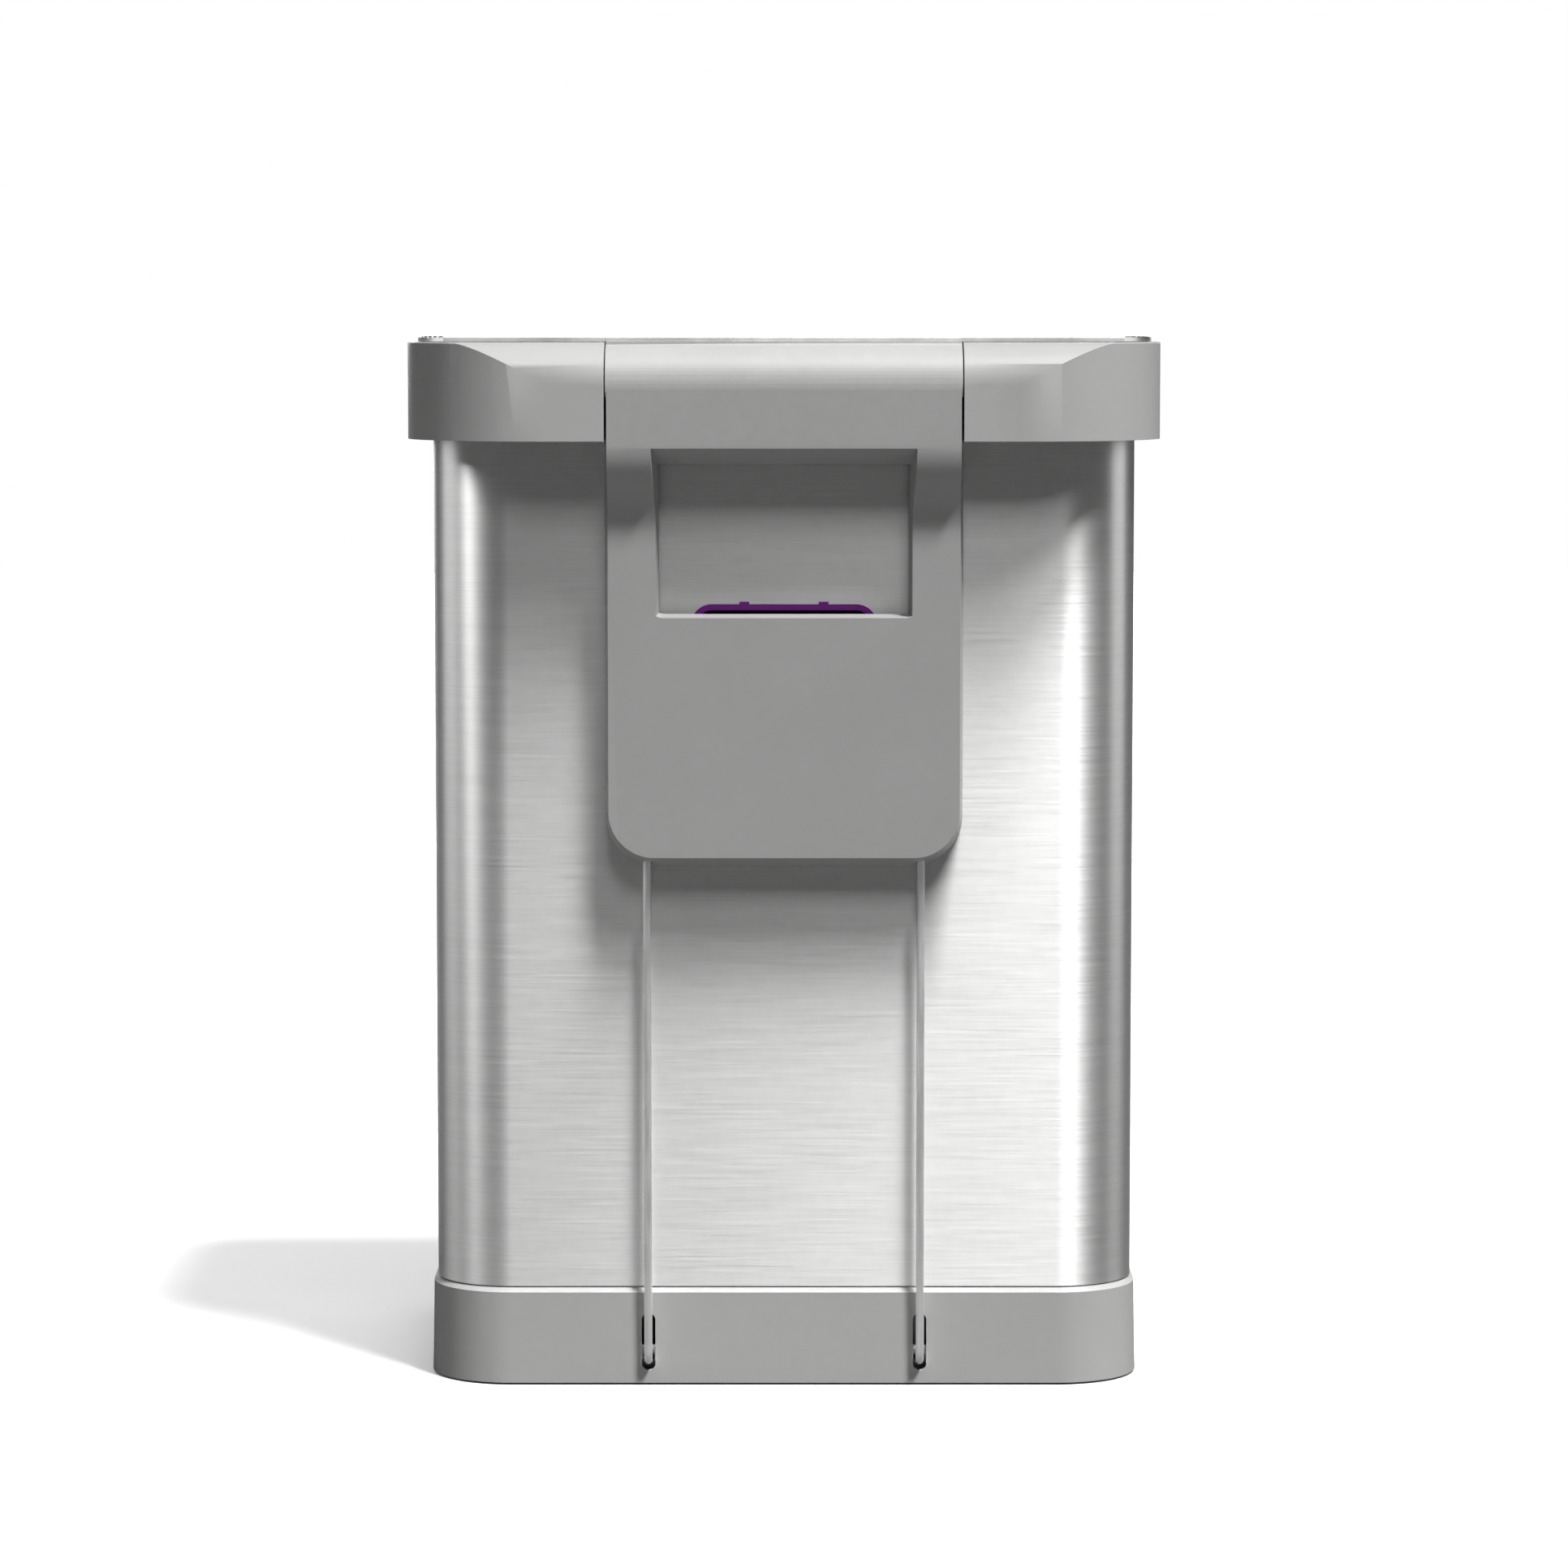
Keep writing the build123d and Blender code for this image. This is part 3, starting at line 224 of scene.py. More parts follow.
def white_card():
    card = bpy.data.materials.new("white_card")
    card.use_nodes = True
    tree = card.node_tree
    shader = tree.nodes["Principled BSDF"]
    shader.inputs["Base Color"].default_value = (0.9, 0.9, 0.9, 1)
    shader.inputs["Roughness"].default_value = 0.75
    shader.inputs["Emission Color"].default_value = (1, 1, 1, 1)
    # painted shade: Ambient Occlusion dims the floor's painted glow close to the base
    glow = add(tree, "ShaderNodeAmbientOcclusion", {"Distance": PAINTED_SHADE_REACH})
    lift = add(tree, "ShaderNodeMath", {1: PAINTED_FLOOR_GLOW}, operation="MULTIPLY")
    tree.links.new(glow.outputs["AO"], lift.inputs[0])
    tree.links.new(lift.outputs[0], shader.inputs["Emission Strength"])
    dim = add(tree, "ShaderNodeBsdfDiffuse", {"Color": (0.16, 0.16, 0.16, 1)})
    seen = add(tree, "ShaderNodeLightPath")
    mix = add(tree, "ShaderNodeMixShader")
    tree.links.new(seen.outputs["Is Camera Ray"], mix.inputs["Fac"])
    tree.links.new(dim.outputs[0], mix.inputs[1])
    tree.links.new(shader.outputs[0], mix.inputs[2])
    tree.links.new(mix.outputs[0], tree.nodes["Material Output"].inputs["Surface"])
    place = add(tree, "ShaderNodeTexCoord")
    tooth = add(tree, "ShaderNodeTexNoise", {"Scale": 900.0, "Detail": 2.0})
    bump = add(tree, "ShaderNodeBump", {"Strength": 0.08, "Distance": 0.0002})
    tree.links.new(place.outputs["Object"], tooth.inputs["Vector"])
    tree.links.new(tooth.outputs["Fac"], bump.inputs["Height"])
    tree.links.new(bump.outputs[0], shader.inputs["Normal"])
    return card


floor_mesh = bpy.data.meshes.new("floor")
corners = [(x * FLOOR_HALF, y * FLOOR_HALF, CAD_BOX[0].z)
           for x, y in ((-1, -1), (1, -1), (1, 1), (-1, 1))]
floor_mesh.from_pydata(corners, [], [(0, 1, 2, 3)])
floor_mesh.materials.append(white_card())
floor = bpy.data.objects.new("floor", floor_mesh)
scene.collection.objects.link(floor)
print("floor", 2 * FLOOR_HALF, "m square")

# %% [markdown]
# ## Camera
# The camera looks at the bin's back from just above lid height and far away, through a long
# lens, so that upright edges stay nearly parallel. It points a few degrees down.

# %% Set the camera
CAMERA_AWAY = 2.492
CAMERA_HEIGHT = 0.5192
CAMERA_DIP = 5.10
LENS_LENGTH = 120.48
SENSOR_WIDTH = 36.0
lens = bpy.data.cameras.new("long_lens")
lens.sensor_width = SENSOR_WIDTH
lens.lens = LENS_LENGTH
camera = bpy.data.objects.new("camera", lens)
camera.location = (0, REAR_Y + CAMERA_AWAY, CAMERA_HEIGHT)
camera.rotation_euler = (math.radians(90 - CAMERA_DIP), 0, math.radians(180))
scene.collection.objects.link(camera)
scene.camera = camera
print("camera", CAMERA_AWAY, "m behind the collar")

# %% [markdown]
# ## Shared surface effects
# Four effects turn up in nearly every finish: the fine spark-eroded grain of moulded parts,
# the lines of brushed or drawn metal, edges rubbed brighter by hands, and a trace of dust on
# whatever faces up. Each is a node group with named sockets, built once and placed in each
# material with its own values. They read Object coordinates, which are true metres here.

# %% Build the shared groups


def start_group(name, inputs, outputs):
    """An empty shader group with float or vector inputs and float outputs."""
    tree = bpy.data.node_groups.new(name, "ShaderNodeTree")
    for label, value in inputs.items():
        kind = "NodeSocketVector" if isinstance(value, tuple) else "NodeSocketFloat"
        socket = tree.interface.new_socket(label, in_out="INPUT", socket_type=kind)
        socket.default_value = value
    for label in outputs:
        tree.interface.new_socket(label, in_out="OUTPUT", socket_type="NodeSocketFloat")
    return tree, add(tree, "NodeGroupInput"), add(tree, "NodeGroupOutput")


def moulded_grain():
    tree, given, out = start_group(
        "moulded_grain", {"Grain": 1800.0, "Patches": 14.0}, ("Height", "Patch"))
    place = add(tree, "ShaderNodeTexCoord")
    grain = add(tree, "ShaderNodeTexNoise", {"Detail": 3.0, "Roughness": 0.6})
    patch = add(tree, "ShaderNodeTexNoise", {"Detail": 3.0, "Roughness": 0.55})
    for noise, label in ((grain, "Grain"), (patch, "Patches")):
        tree.links.new(place.outputs["Object"], noise.inputs["Vector"])
        tree.links.new(given.outputs[label], noise.inputs["Scale"])
    tree.links.new(grain.outputs["Fac"], out.inputs["Height"])
    tree.links.new(patch.outputs["Fac"], out.inputs["Patch"])
    return tree


def drawn_lines():
    tree, given, out = start_group(
        "drawn_lines", {"Stretch": (90.0, 90.0, 1800.0)}, ("Lines", "Height"))
    place = add(tree, "ShaderNodeTexCoord")
    stretch = add(tree, "ShaderNodeVectorMath", operation="MULTIPLY")
    fine = add(tree, "ShaderNodeTexNoise", {"Scale": 1.0, "Detail": 4.0, "Roughness": 0.7})
    coarse = add(tree, "ShaderNodeTexNoise", {"Scale": 0.7, "Detail": 2.0})
    blend = add(tree, "ShaderNodeMath", {1: 0.65}, operation="MULTIPLY_ADD")
    share = add(tree, "ShaderNodeMath", {1: 0.35}, operation="MULTIPLY")
    tree.links.new(place.outputs["Object"], stretch.inputs[0])
    tree.links.new(given.outputs["Stretch"], stretch.inputs[1])
    for noise in (fine, coarse):
        tree.links.new(stretch.outputs[0], noise.inputs["Vector"])
    tree.links.new(coarse.outputs["Fac"], share.inputs[0])
    tree.links.new(fine.outputs["Fac"], blend.inputs[0])
    tree.links.new(share.outputs[0], blend.inputs[2])
    tree.links.new(blend.outputs[0], out.inputs["Lines"])
    tree.links.new(fine.outputs["Fac"], out.inputs["Height"])
    return tree


def rubbed_edges():
    tree, given, out = start_group("rubbed_edges", {"Amount": 0.5, "Sharpness": 0.06}, ("Mask",))
    shape = add(tree, "ShaderNodeNewGeometry")
    place = add(tree, "ShaderNodeTexCoord")
    reach = add(tree, "ShaderNodeMath", {0: 0.5}, operation="ADD")
    edge = add(tree, "ShaderNodeMapRange", {"From Min": 0.5})
    spots = add(tree, "ShaderNodeTexNoise", {"Scale": 160.0, "Detail": 4.0})
    uneven = add(tree, "ShaderNodeMath", operation="MULTIPLY")
    scaled = add(tree, "ShaderNodeMath", operation="MULTIPLY", use_clamp=True)
    tree.links.new(given.outputs["Sharpness"], reach.inputs[1])
    tree.links.new(reach.outputs[0], edge.inputs["From Max"])
    tree.links.new(shape.outputs["Pointiness"], edge.inputs["Value"])
    tree.links.new(place.outputs["Object"], spots.inputs["Vector"])
    tree.links.new(edge.outputs[0], uneven.inputs[0])
    tree.links.new(spots.outputs["Fac"], uneven.inputs[1])
    tree.links.new(uneven.outputs[0], scaled.inputs[0])
    tree.links.new(given.outputs["Amount"], scaled.inputs[1])
    tree.links.new(scaled.outputs[0], out.inputs["Mask"])
    return tree


def settled_dust():
    tree, given, out = start_group("settled_dust", {"Amount": 0.1}, ("Mask",))
    shape = add(tree, "ShaderNodeNewGeometry")
    place = add(tree, "ShaderNodeTexCoord")
    split = add(tree, "ShaderNodeSeparateXYZ")
    up = add(tree, "ShaderNodeMapRange", {"From Min": 0.6, "From Max": 1.0})
    spots = add(tree, "ShaderNodeTexNoise", {"Scale": 420.0, "Detail": 6.0, "Roughness": 0.7})
    speck = add(tree, "ShaderNodeMapRange", {"From Min": 0.45, "From Max": 0.75})
    both = add(tree, "ShaderNodeMath", operation="MULTIPLY")
    scaled = add(tree, "ShaderNodeMath", operation="MULTIPLY", use_clamp=True)
    tree.links.new(shape.outputs["Normal"], split.inputs[0])
    tree.links.new(split.outputs["Z"], up.inputs["Value"])
    tree.links.new(place.outputs["Object"], spots.inputs["Vector"])
    tree.links.new(spots.outputs["Fac"], speck.inputs["Value"])
    tree.links.new(up.outputs[0], both.inputs[0])
    tree.links.new(speck.outputs[0], both.inputs[1])
    tree.links.new(both.outputs[0], scaled.inputs[0])
    tree.links.new(given.outputs["Amount"], scaled.inputs[1])
    tree.links.new(scaled.outputs[0], out.inputs["Mask"])
    return tree


EFFECTS = {"grain": moulded_grain(), "lines": drawn_lines(), "edges": rubbed_edges(),
           "dust": settled_dust()}
print("effects:", ", ".join(tree.name for tree in EFFECTS.values()))

# %% [markdown]
# ## Moulded finishes
# Housing, collar, base and hinge cover are moulded in the same silver grey plastic with a fine matt
# grain. The grain goes into the bump, a slow patchiness into colour and roughness, and the rubbed
# edges turn a little lighter. The same recipe with other numbers gives the dark inner parts, the
# bucket, the purple trim, rubber and charcoal. The rear housing is a separate moulding, and comes
# out a shade darker than its neighbours.

# %% Mix the plastics


def placed(tree, effect, **values):
    """One of the shared effects, set for this material."""
    made = add(tree, "ShaderNodeGroup", node_tree=EFFECTS[effect])
    for label, value in values.items():
        made.inputs[label].default_value = value
    return made


def tint(tree, factor, first, second):
    """Colour that goes from first to second with a mask."""
    mix = add(tree, "ShaderNodeMix", data_type="RGBA")
    tree.links.new(factor, mix.inputs["Factor"])
    for socket, colour in ((mix.inputs[6], first), (mix.inputs[7], second)):
        if isinstance(colour, tuple):
            socket.default_value = (*colour, 1.0)
        else:
            tree.links.new(colour, socket)
    return mix.outputs[2]


def level(tree, value, low, high, start=0.3, stop=0.7):
    """A mask turned into a number between low and high."""
    ranged = add(tree, "ShaderNodeMapRange", {
        "From Min": start, "From Max": stop, "To Min": low, "To Max": high})
    tree.links.new(value, ranged.inputs["Value"])
    return ranged.outputs[0]


def scaled_colour(colour, factor):
    return tuple(min(1.0, channel * factor) for channel in colour)


def varied(tree, mask, colour, contrast):
    """The colour, from a little darker to a little lighter with a mask."""
    darker, lighter = (scaled_colour(colour, factor) for factor in (1 - contrast, 1 + contrast))
    return tint(tree, level(tree, mask, 0.0, 1.0), darker, lighter)


def plastic(name, colour, roughness, grain=1800.0, depth=0.00003, wear=0.35, dust=0.12,
            contrast=0.06):
    """Moulded plastic or rubber; grain is per metre, and depth is the grain's, in metres."""
    material = bpy.data.materials.new(name)
    material.use_nodes = True
    tree = material.node_tree
    shader = tree.nodes["Principled BSDF"]
    shader.inputs["IOR"].default_value = 1.49
    grained = placed(tree, "grain", Grain=grain)
    edges = placed(tree, "edges", Amount=wear)
    specks = placed(tree, "dust", Amount=dust)
    patch = grained.outputs["Patch"]
    skin = varied(tree, patch, colour, contrast)
    worn = tint(tree, edges.outputs["Mask"], skin, scaled_colour(colour, 1.35))
    dusty = tint(tree, specks.outputs["Mask"], worn, (0.55, 0.53, 0.5))
    tree.links.new(dusty, shader.inputs["Base Color"])
    shine = level(tree, patch, roughness - 0.03, roughness + 0.04)
    tree.links.new(shine, shader.inputs["Roughness"])
    bump = add(tree, "ShaderNodeBump", {"Strength": 0.35, "Distance": depth})
    tree.links.new(grained.outputs["Height"], bump.inputs["Height"])
    tree.links.new(bump.outputs[0], shader.inputs["Normal"])
    return material


FINISH = {
    "housing_plastic": plastic("silver_grey_plastic", (0.46, 0.458, 0.454), 0.42, contrast=0.02),
    "dark_plastic": plastic("charcoal_grey_plastic", (0.035, 0.035, 0.037), 0.5),
    "bucket_plastic": plastic("bucket_plastic", (0.085, 0.086, 0.09), 0.45, grain=900.0),
    "purple_plastic": plastic("purple_plastic", (0.19, 0.014, 0.26), 0.38, grain=2400.0),
    "rubber": plastic("foot_rubber", (0.018, 0.018, 0.018), 0.8, grain=1200.0, depth=0.00006,
                      wear=0.2),
    "charcoal": plastic("pressed_charcoal", (0.012, 0.012, 0.012), 0.9, grain=420.0, depth=0.0006,
                        contrast=0.3),
}
HOUSING_PLASTIC = plastic("housing_grey_plastic", (0.395, 0.393, 0.39), 0.42, contrast=0.02)
print("plastics:", ", ".join(FINISH))

# %% [markdown]
# ## Metal finishes
# The sleeve and lid are stainless sheet brushed along the bin's width. Light spreads across the
# brushing, so the shader is anisotropic and takes its direction from a UV map named brush, and
# fine stretched noise adds the lines that the eye can see. Zinc-plated brackets and drawn wire
# use the same recipe without the direction.

# %% Mix the metals


def metal(name, colour, roughness, stretch, spread=0.07, contrast=0.12, depth=0.00001,
          directed=0.0, wear=0.4):
    """Metal with lines; stretch is their number per metre each way, directed their pull."""
    material = bpy.data.materials.new(name)
    material.use_nodes = True
    tree = material.node_tree
    shader = tree.nodes["Principled BSDF"]
    shader.inputs["Metallic"].default_value = 1.0
    lines = placed(tree, "lines", Stretch=stretch)
    edges = placed(tree, "edges", Amount=wear)
    specks = placed(tree, "dust", Amount=0.08)
    mask = lines.outputs["Lines"]
    skin = varied(tree, mask, colour, contrast)
    worn = tint(tree, edges.outputs["Mask"], skin, scaled_colour(colour, 1.25))
    dusty = tint(tree, specks.outputs["Mask"], worn, (0.5, 0.49, 0.47))
    tree.links.new(dusty, shader.inputs["Base Color"])
    shine = level(tree, mask, roughness - spread, roughness + spread)
    tree.links.new(shine, shader.inputs["Roughness"])
    bump = add(tree, "ShaderNodeBump", {"Strength": 0.25, "Distance": depth})
    tree.links.new(lines.outputs["Height"], bump.inputs["Height"])
    tree.links.new(bump.outputs[0], shader.inputs["Normal"])
    if directed:
        shader.inputs["Anisotropic"].default_value = directed
        along = add(tree, "ShaderNodeTangent", direction_type="UV_MAP", uv_map="brush")
        tree.links.new(along.outputs[0], shader.inputs["Tangent"])
    return material


STEEL = (0.62, 0.62, 0.615)
FINISH["brushed_steel"] = metal("lid_steel", STEEL, 0.34, (14.0, 2000.0, 14.0), directed=0.7)
SLEEVE_STEEL = metal("sleeve_steel", STEEL, 0.44, (25.0, 25.0, 2400.0), spread=0.04, contrast=0.1,
                     depth=0.000004, directed=0.78)
FINISH["zinc_steel"] = metal("zinc_plate", (0.5, 0.51, 0.53), 0.38, (220.0, 220.0, 220.0),
                             contrast=0.16)
FINISH["wire_steel"] = metal("drawn_wire", (0.9, 0.9, 0.89), 0.45, (500.0, 500.0, 30.0),
                             contrast=0.08)
print("metals: lid_steel, sleeve_steel, zinc_plate, drawn_wire")

# %% [markdown]
# ## Softened mouldings
# No moulded or pressed edge is truly sharp: tools leave a radius of half a millimetre or so,
# and that radius is what catches the light. Each node is copied, its loose triangles are merged
# and its flat areas dissolved into single faces. A Bevel modifier then rounds the edges that
# turn by more than the limit, which keeps the curved walls as they are. The few shapes whose flat
# areas have many holes, such as the ribbed plate and the filter's grille, keep sharp edges: once
# their triangles were merged, rounding tore those faces.

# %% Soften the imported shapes


def baked(thing):
    """The object's mesh with its modifiers applied, and none left on it."""
    bpy.context.view_layer.update()
    graph = bpy.context.evaluated_depsgraph_get()
    result = bpy.data.meshes.new_from_object(thing.evaluated_get(graph), depsgraph=graph)
    thing.modifiers.clear()
    thing.data = result
    return thing


FLAT_TOP = 0.7


def brush_map(mesh):
    """UV map whose U runs across the brushing: up each wall, and along Y on flat tops."""
    layer = mesh.uv_layers.new(name="brush")
    for face in mesh.polygons:
        normal = face.normal
        if abs(normal.z) > FLAT_TOP:
            rise, level_way = Vector((0, 1, 0)), Vector((1, 0, 0))
        else:
            rise, level_way = Vector((0, 0, 1)), Vector((-normal.y, normal.x, 0)).normalized()
        for corner in face.loop_indices:
            point = mesh.vertices[mesh.loops[corner].vertex_index].co
            layer.data[corner].uv = (point.dot(rise), point.dot(level_way))


MERGE_REACH = 1e-6
FLAT_TURN = 0.4
ROUND_TURN = 32.0
SHARP_TURN = 18.0


def softened(node, radius):
    """Closed copy of a node with rounded edges; radius 0 only shades its curves smoothly."""
    source = frame["nodes"][node].data.copy()
    work = bmesh.new()
    work.from_mesh(source)
    bmesh.ops.remove_doubles(work, verts=work.verts, dist=MERGE_REACH)
    if radius:
        bmesh.ops.dissolve_limit(work, angle_limit=math.radians(FLAT_TURN), verts=work.verts,
                                 edges=work.edges, delimit={"NORMAL"})
    for face in work.faces:
        face.smooth = True
    mesh = bpy.data.meshes.new(node + "_soft")
    work.to_mesh(mesh)
    work.free()
    bpy.data.meshes.remove(source)
    piece = bpy.data.objects.new(node + "_soft", mesh)
    scene.collection.objects.link(piece)
    if radius:
        bevel = piece.modifiers.new("rounding", "BEVEL")
        bevel.width = radius * MM
        bevel.segments = 3
        bevel.limit_method = "ANGLE"
        bevel.angle_limit = math.radians(ROUND_TURN)
        bevel.miter_outer = "MITER_ARC"
    else:
        mesh.set_sharp_from_angle(angle=math.radians(SHARP_TURN))
    weighted = piece.modifiers.new("flat_faces", "WEIGHTED_NORMAL")
    weighted.weight = 80
    weighted.keep_sharp = True
    return baked(piece)


def dress(piece, *nodes, material=None):
    """Give a piece its finish, its body and the nodes that it stands for."""
    slot = SLOT_OF[nodes[0]]
    piece.data.materials.clear()
    piece.data.materials.append(material or FINISH[slot])
    if slot == "brushed_steel":
        brush_map(piece.data)
    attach(piece, BODY_OF[nodes[0]])
    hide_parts(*nodes)
    return piece


EDGE_RADIUS = {
    "collar": 0.6, "rear_housing": 0.7, "hinge_barrel": 0.0, "base_plinth": 0.5,
    "pedal_pad": 0.4, "lid_plate": 0.2, "press_skin": 0.2, "handle_well": 0.5,
    "press_handle": 0.8, "pedal_lever": 0.4, "liner_ring": 0.5, "inner_bucket": 0.5,
    "compaction_plate": 0.0, "filter_cover": 0.0, "lid_frame": 0.4, "press_head": 0.4,
    "liner_port_bezel": 0.0, "lid_seal": 0.4, "rubber_feet": 0.4, "hinge_bracket": 0.3,
    "hinge_arms": 0.0, "outer_arms": 0.5, "inner_arms": 0.5, "lift_yoke": 0.4, "base_pan": 0.4,
    "liner_pocket": 0.4, "rod_guides": 0.3, "damper_cylinder": 0.4, "damper_rod": 0.2,
    "lid_carrier": 0.3, "shell_floor": 0.2, "hinge_pin": 0.3, "pedal_pivot_pin": 0.4,
    "outer_shaft": 0.3, "inner_shaft": 0.3, "centre_pins": 0.3, "handle_pins": 0.3,
    "charcoal_filter": 0.4,
}
faces = 0
for node, radius in EDGE_RADIUS.items():
    special = HOUSING_PLASTIC if node == "rear_housing" else None
    piece = dress(softened(node, radius), node, material=special)
    if node in ("lid_plate", "press_skin"):
        lid_parts.objects.link(piece)
        steel_parts.objects.link(piece)
    faces += len(piece.data.polygons)
print("softened", len(EDGE_RADIUS), "shapes,", faces, "faces")

# %% [markdown]
# ## Rule-based pieces
# Sheet, wire and screws follow simple rules, so Geometry Nodes trees make them. These helpers
# start a tree, finish it with real geometry and its material, and run it on a small mesh of
# points. What comes out is a plain mesh with no modifier left.

# %% Helpers for geometry trees


def start_tree(name, inputs, geometry_in=False):
    """Geometry tree with float inputs; the first socket out is the geometry."""
    tree = bpy.data.node_groups.new(name, "GeometryNodeTree")
    tree.interface.new_socket("Geometry", in_out="OUTPUT", socket_type="NodeSocketGeometry")
    if geometry_in:
        tree.interface.new_socket("Geometry", in_out="INPUT", socket_type="NodeSocketGeometry")
    tree.interface.new_socket("Finish", in_out="INPUT", socket_type="NodeSocketMaterial")
    for label, value in inputs.items():
        kind = {tuple: "NodeSocketVector", int: "NodeSocketInt"}.get(type(value), "NodeSocketFloat")
        tree.interface.new_socket(label, in_out="INPUT", socket_type=kind).default_value = value
    return tree, add(tree, "NodeGroupInput"), add(tree, "NodeGroupOutput")


def end_tree(tree, given, out, last):
    """Real geometry and the finish, in that order."""
    real = add(tree, "GeometryNodeRealizeInstances")
    coat = add(tree, "GeometryNodeSetMaterial")
    tree.links.new(last, real.inputs[0])
    tree.links.new(real.outputs[0], coat.inputs["Geometry"])
    tree.links.new(given.outputs["Finish"], coat.inputs["Material"])
    tree.links.new(coat.outputs[0], out.inputs[0])
    return tree


def grown(name, tree, finish, values, points=(), edges=()):
    """Run a tree on a mesh of points and edges, and keep the plain mesh it makes."""
    mesh = bpy.data.meshes.new(name)
    mesh.from_pydata(points, edges, [])
    thing = bpy.data.objects.new(name, mesh)
    scene.collection.objects.link(thing)
    modifier = thing.modifiers.new("grow", "NODES")
    modifier.node_group = tree
    values = {"Finish": finish, **values}
    for item in tree.interface.items_tree:
        if item.in_out == "INPUT" and item.name in values:
            modifier[item.identifier] = values[item.name]
    return baked(thing)


def smoothed(thing, angle=30.0):
    """Smooth faces, with creases kept where the surface turns sharply."""
    thing.data.shade_smooth()
    thing.data.set_sharp_from_angle(angle=math.radians(angle))
    return thing


# %% [markdown]
# ## Steel sleeve
# The body is one sheet of steel rolled into a rounded rectangle, with a port cut in its back
# for the liner roll. A Geometry Nodes tree follows that rule: a rounded plan is the path, the
# sheet's edge-on section is swept round it, and a rounded block cuts the port. Sizes come in
# through named inputs.

# %% Roll the sleeve
SLEEVE_CORNER = 37.9
SHEET = 0.9
PORT_HALF = 43.3
PORT_CORNER = 8.6
PORT_RIM = 1.7
TAB_RISE = 1.2


def sleeve_tree():
    tree, given, out = start_tree("rolled_sleeve", {
        "Width": 0.3, "Depth": 0.2, "Height": 0.4, "Corner": 0.03, "Sheet": 0.001,
        "Middle": (0.0, 0.0, 0.0), "Port width": 0.08, "Port height": 0.05, "Port corner": 0.008,
        "Port middle": (0.0, 0.0, 0.0)})

    def rounded(width, high, corner, count):
        """Rounded rectangle whose sizes are the named inputs."""
        plan = add(tree, "GeometryNodeCurvePrimitiveQuadrilateral")
        arc = add(tree, "GeometryNodeFilletCurve", {"Count": count}, mode="POLY")
        tree.links.new(given.outputs[width], plan.inputs["Width"])
        tree.links.new(given.outputs[high], plan.inputs["Height"])
        tree.links.new(given.outputs[corner], arc.inputs["Radius"])
        tree.links.new(plan.outputs[0], arc.inputs["Curve"])
        return arc.outputs[0]

    section = add(tree, "GeometryNodeCurvePrimitiveQuadrilateral")
    tree.links.new(given.outputs["Sheet"], section.inputs["Width"])
    tree.links.new(given.outputs["Height"], section.inputs["Height"])
    wall = add(tree, "GeometryNodeCurveToMesh")
    tree.links.new(rounded("Width", "Depth", "Corner", 28), wall.inputs["Curve"])
    tree.links.new(section.outputs[0], wall.inputs["Profile Curve"])
    lifted = add(tree, "GeometryNodeTransform")
    tree.links.new(wall.outputs[0], lifted.inputs["Geometry"])
    tree.links.new(given.outputs["Middle"], lifted.inputs["Translation"])
    through = add(tree, "GeometryNodeCurvePrimitiveLine", {
        "Start": (0, -0.004, 0), "End": (0, 0.004, 0)})
    plug = add(tree, "GeometryNodeCurveToMesh", {"Fill Caps": True})
    tree.links.new(through.outputs[0], plug.inputs["Curve"])
    port = rounded("Port width", "Port height", "Port corner", 10)
    tree.links.new(port, plug.inputs["Profile Curve"])
    placed_plug = add(tree, "GeometryNodeTransform")
    tree.links.new(plug.outputs[0], placed_plug.inputs["Geometry"])
    tree.links.new(given.outputs["Port middle"], placed_plug.inputs["Translation"])
    cut = add(tree, "GeometryNodeMeshBoolean", solver="EXACT", operation="DIFFERENCE")
    tree.links.new(lifted.outputs[0], cut.inputs["Mesh 1"])
    tree.links.new(placed_plug.outputs[0], cut.inputs["Mesh 2"])
    return end_tree(tree, given, out, cut.outputs["Mesh"])


low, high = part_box("body_shell")
port_low, port_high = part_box("liner_port_bezel")
port_top = port_high.z - TAB_RISE * MM - PORT_RIM * MM
port_bottom = port_low.z + PORT_RIM * MM
sheet = SHEET * MM
sleeve = grown("steel_sleeve", sleeve_tree(), SLEEVE_STEEL, {
    "Width": high.x - low.x - sheet, "Depth": high.y - low.y - sheet, "Height": high.z - low.z,
    "Corner": SLEEVE_CORNER * MM - sheet / 2, "Sheet": sheet,
    "Middle": (low + high) / 2,
    "Port width": 2 * PORT_HALF * MM, "Port height": port_top - port_bottom,
    "Port corner": PORT_CORNER * MM,
    "Port middle": (0, high.y - sheet / 2, (port_top + port_bottom) / 2)})
smoothed(sleeve)
dress(sleeve, "body_shell", material=SLEEVE_STEEL)
steel_parts.objects.link(sleeve)
sleeve_size = [round(v / MM, 1) for v in sleeve.dimensions]
print("sleeve faces:", len(sleeve.data.polygons), "size mm:", sleeve_size)

# %% [markdown]
# ## Rods and springs
# The pedal lifts the lid through two steel wires that are bent forwards at the foot, and coil
# springs bring the pedal back and hold the press up. All are round wire on a route, so one
# tree makes them: a few points joined by edges, corners rounded to a bend radius, and a circle
# swept along. A coil's points come from a short loop.

# %% Bend the wires


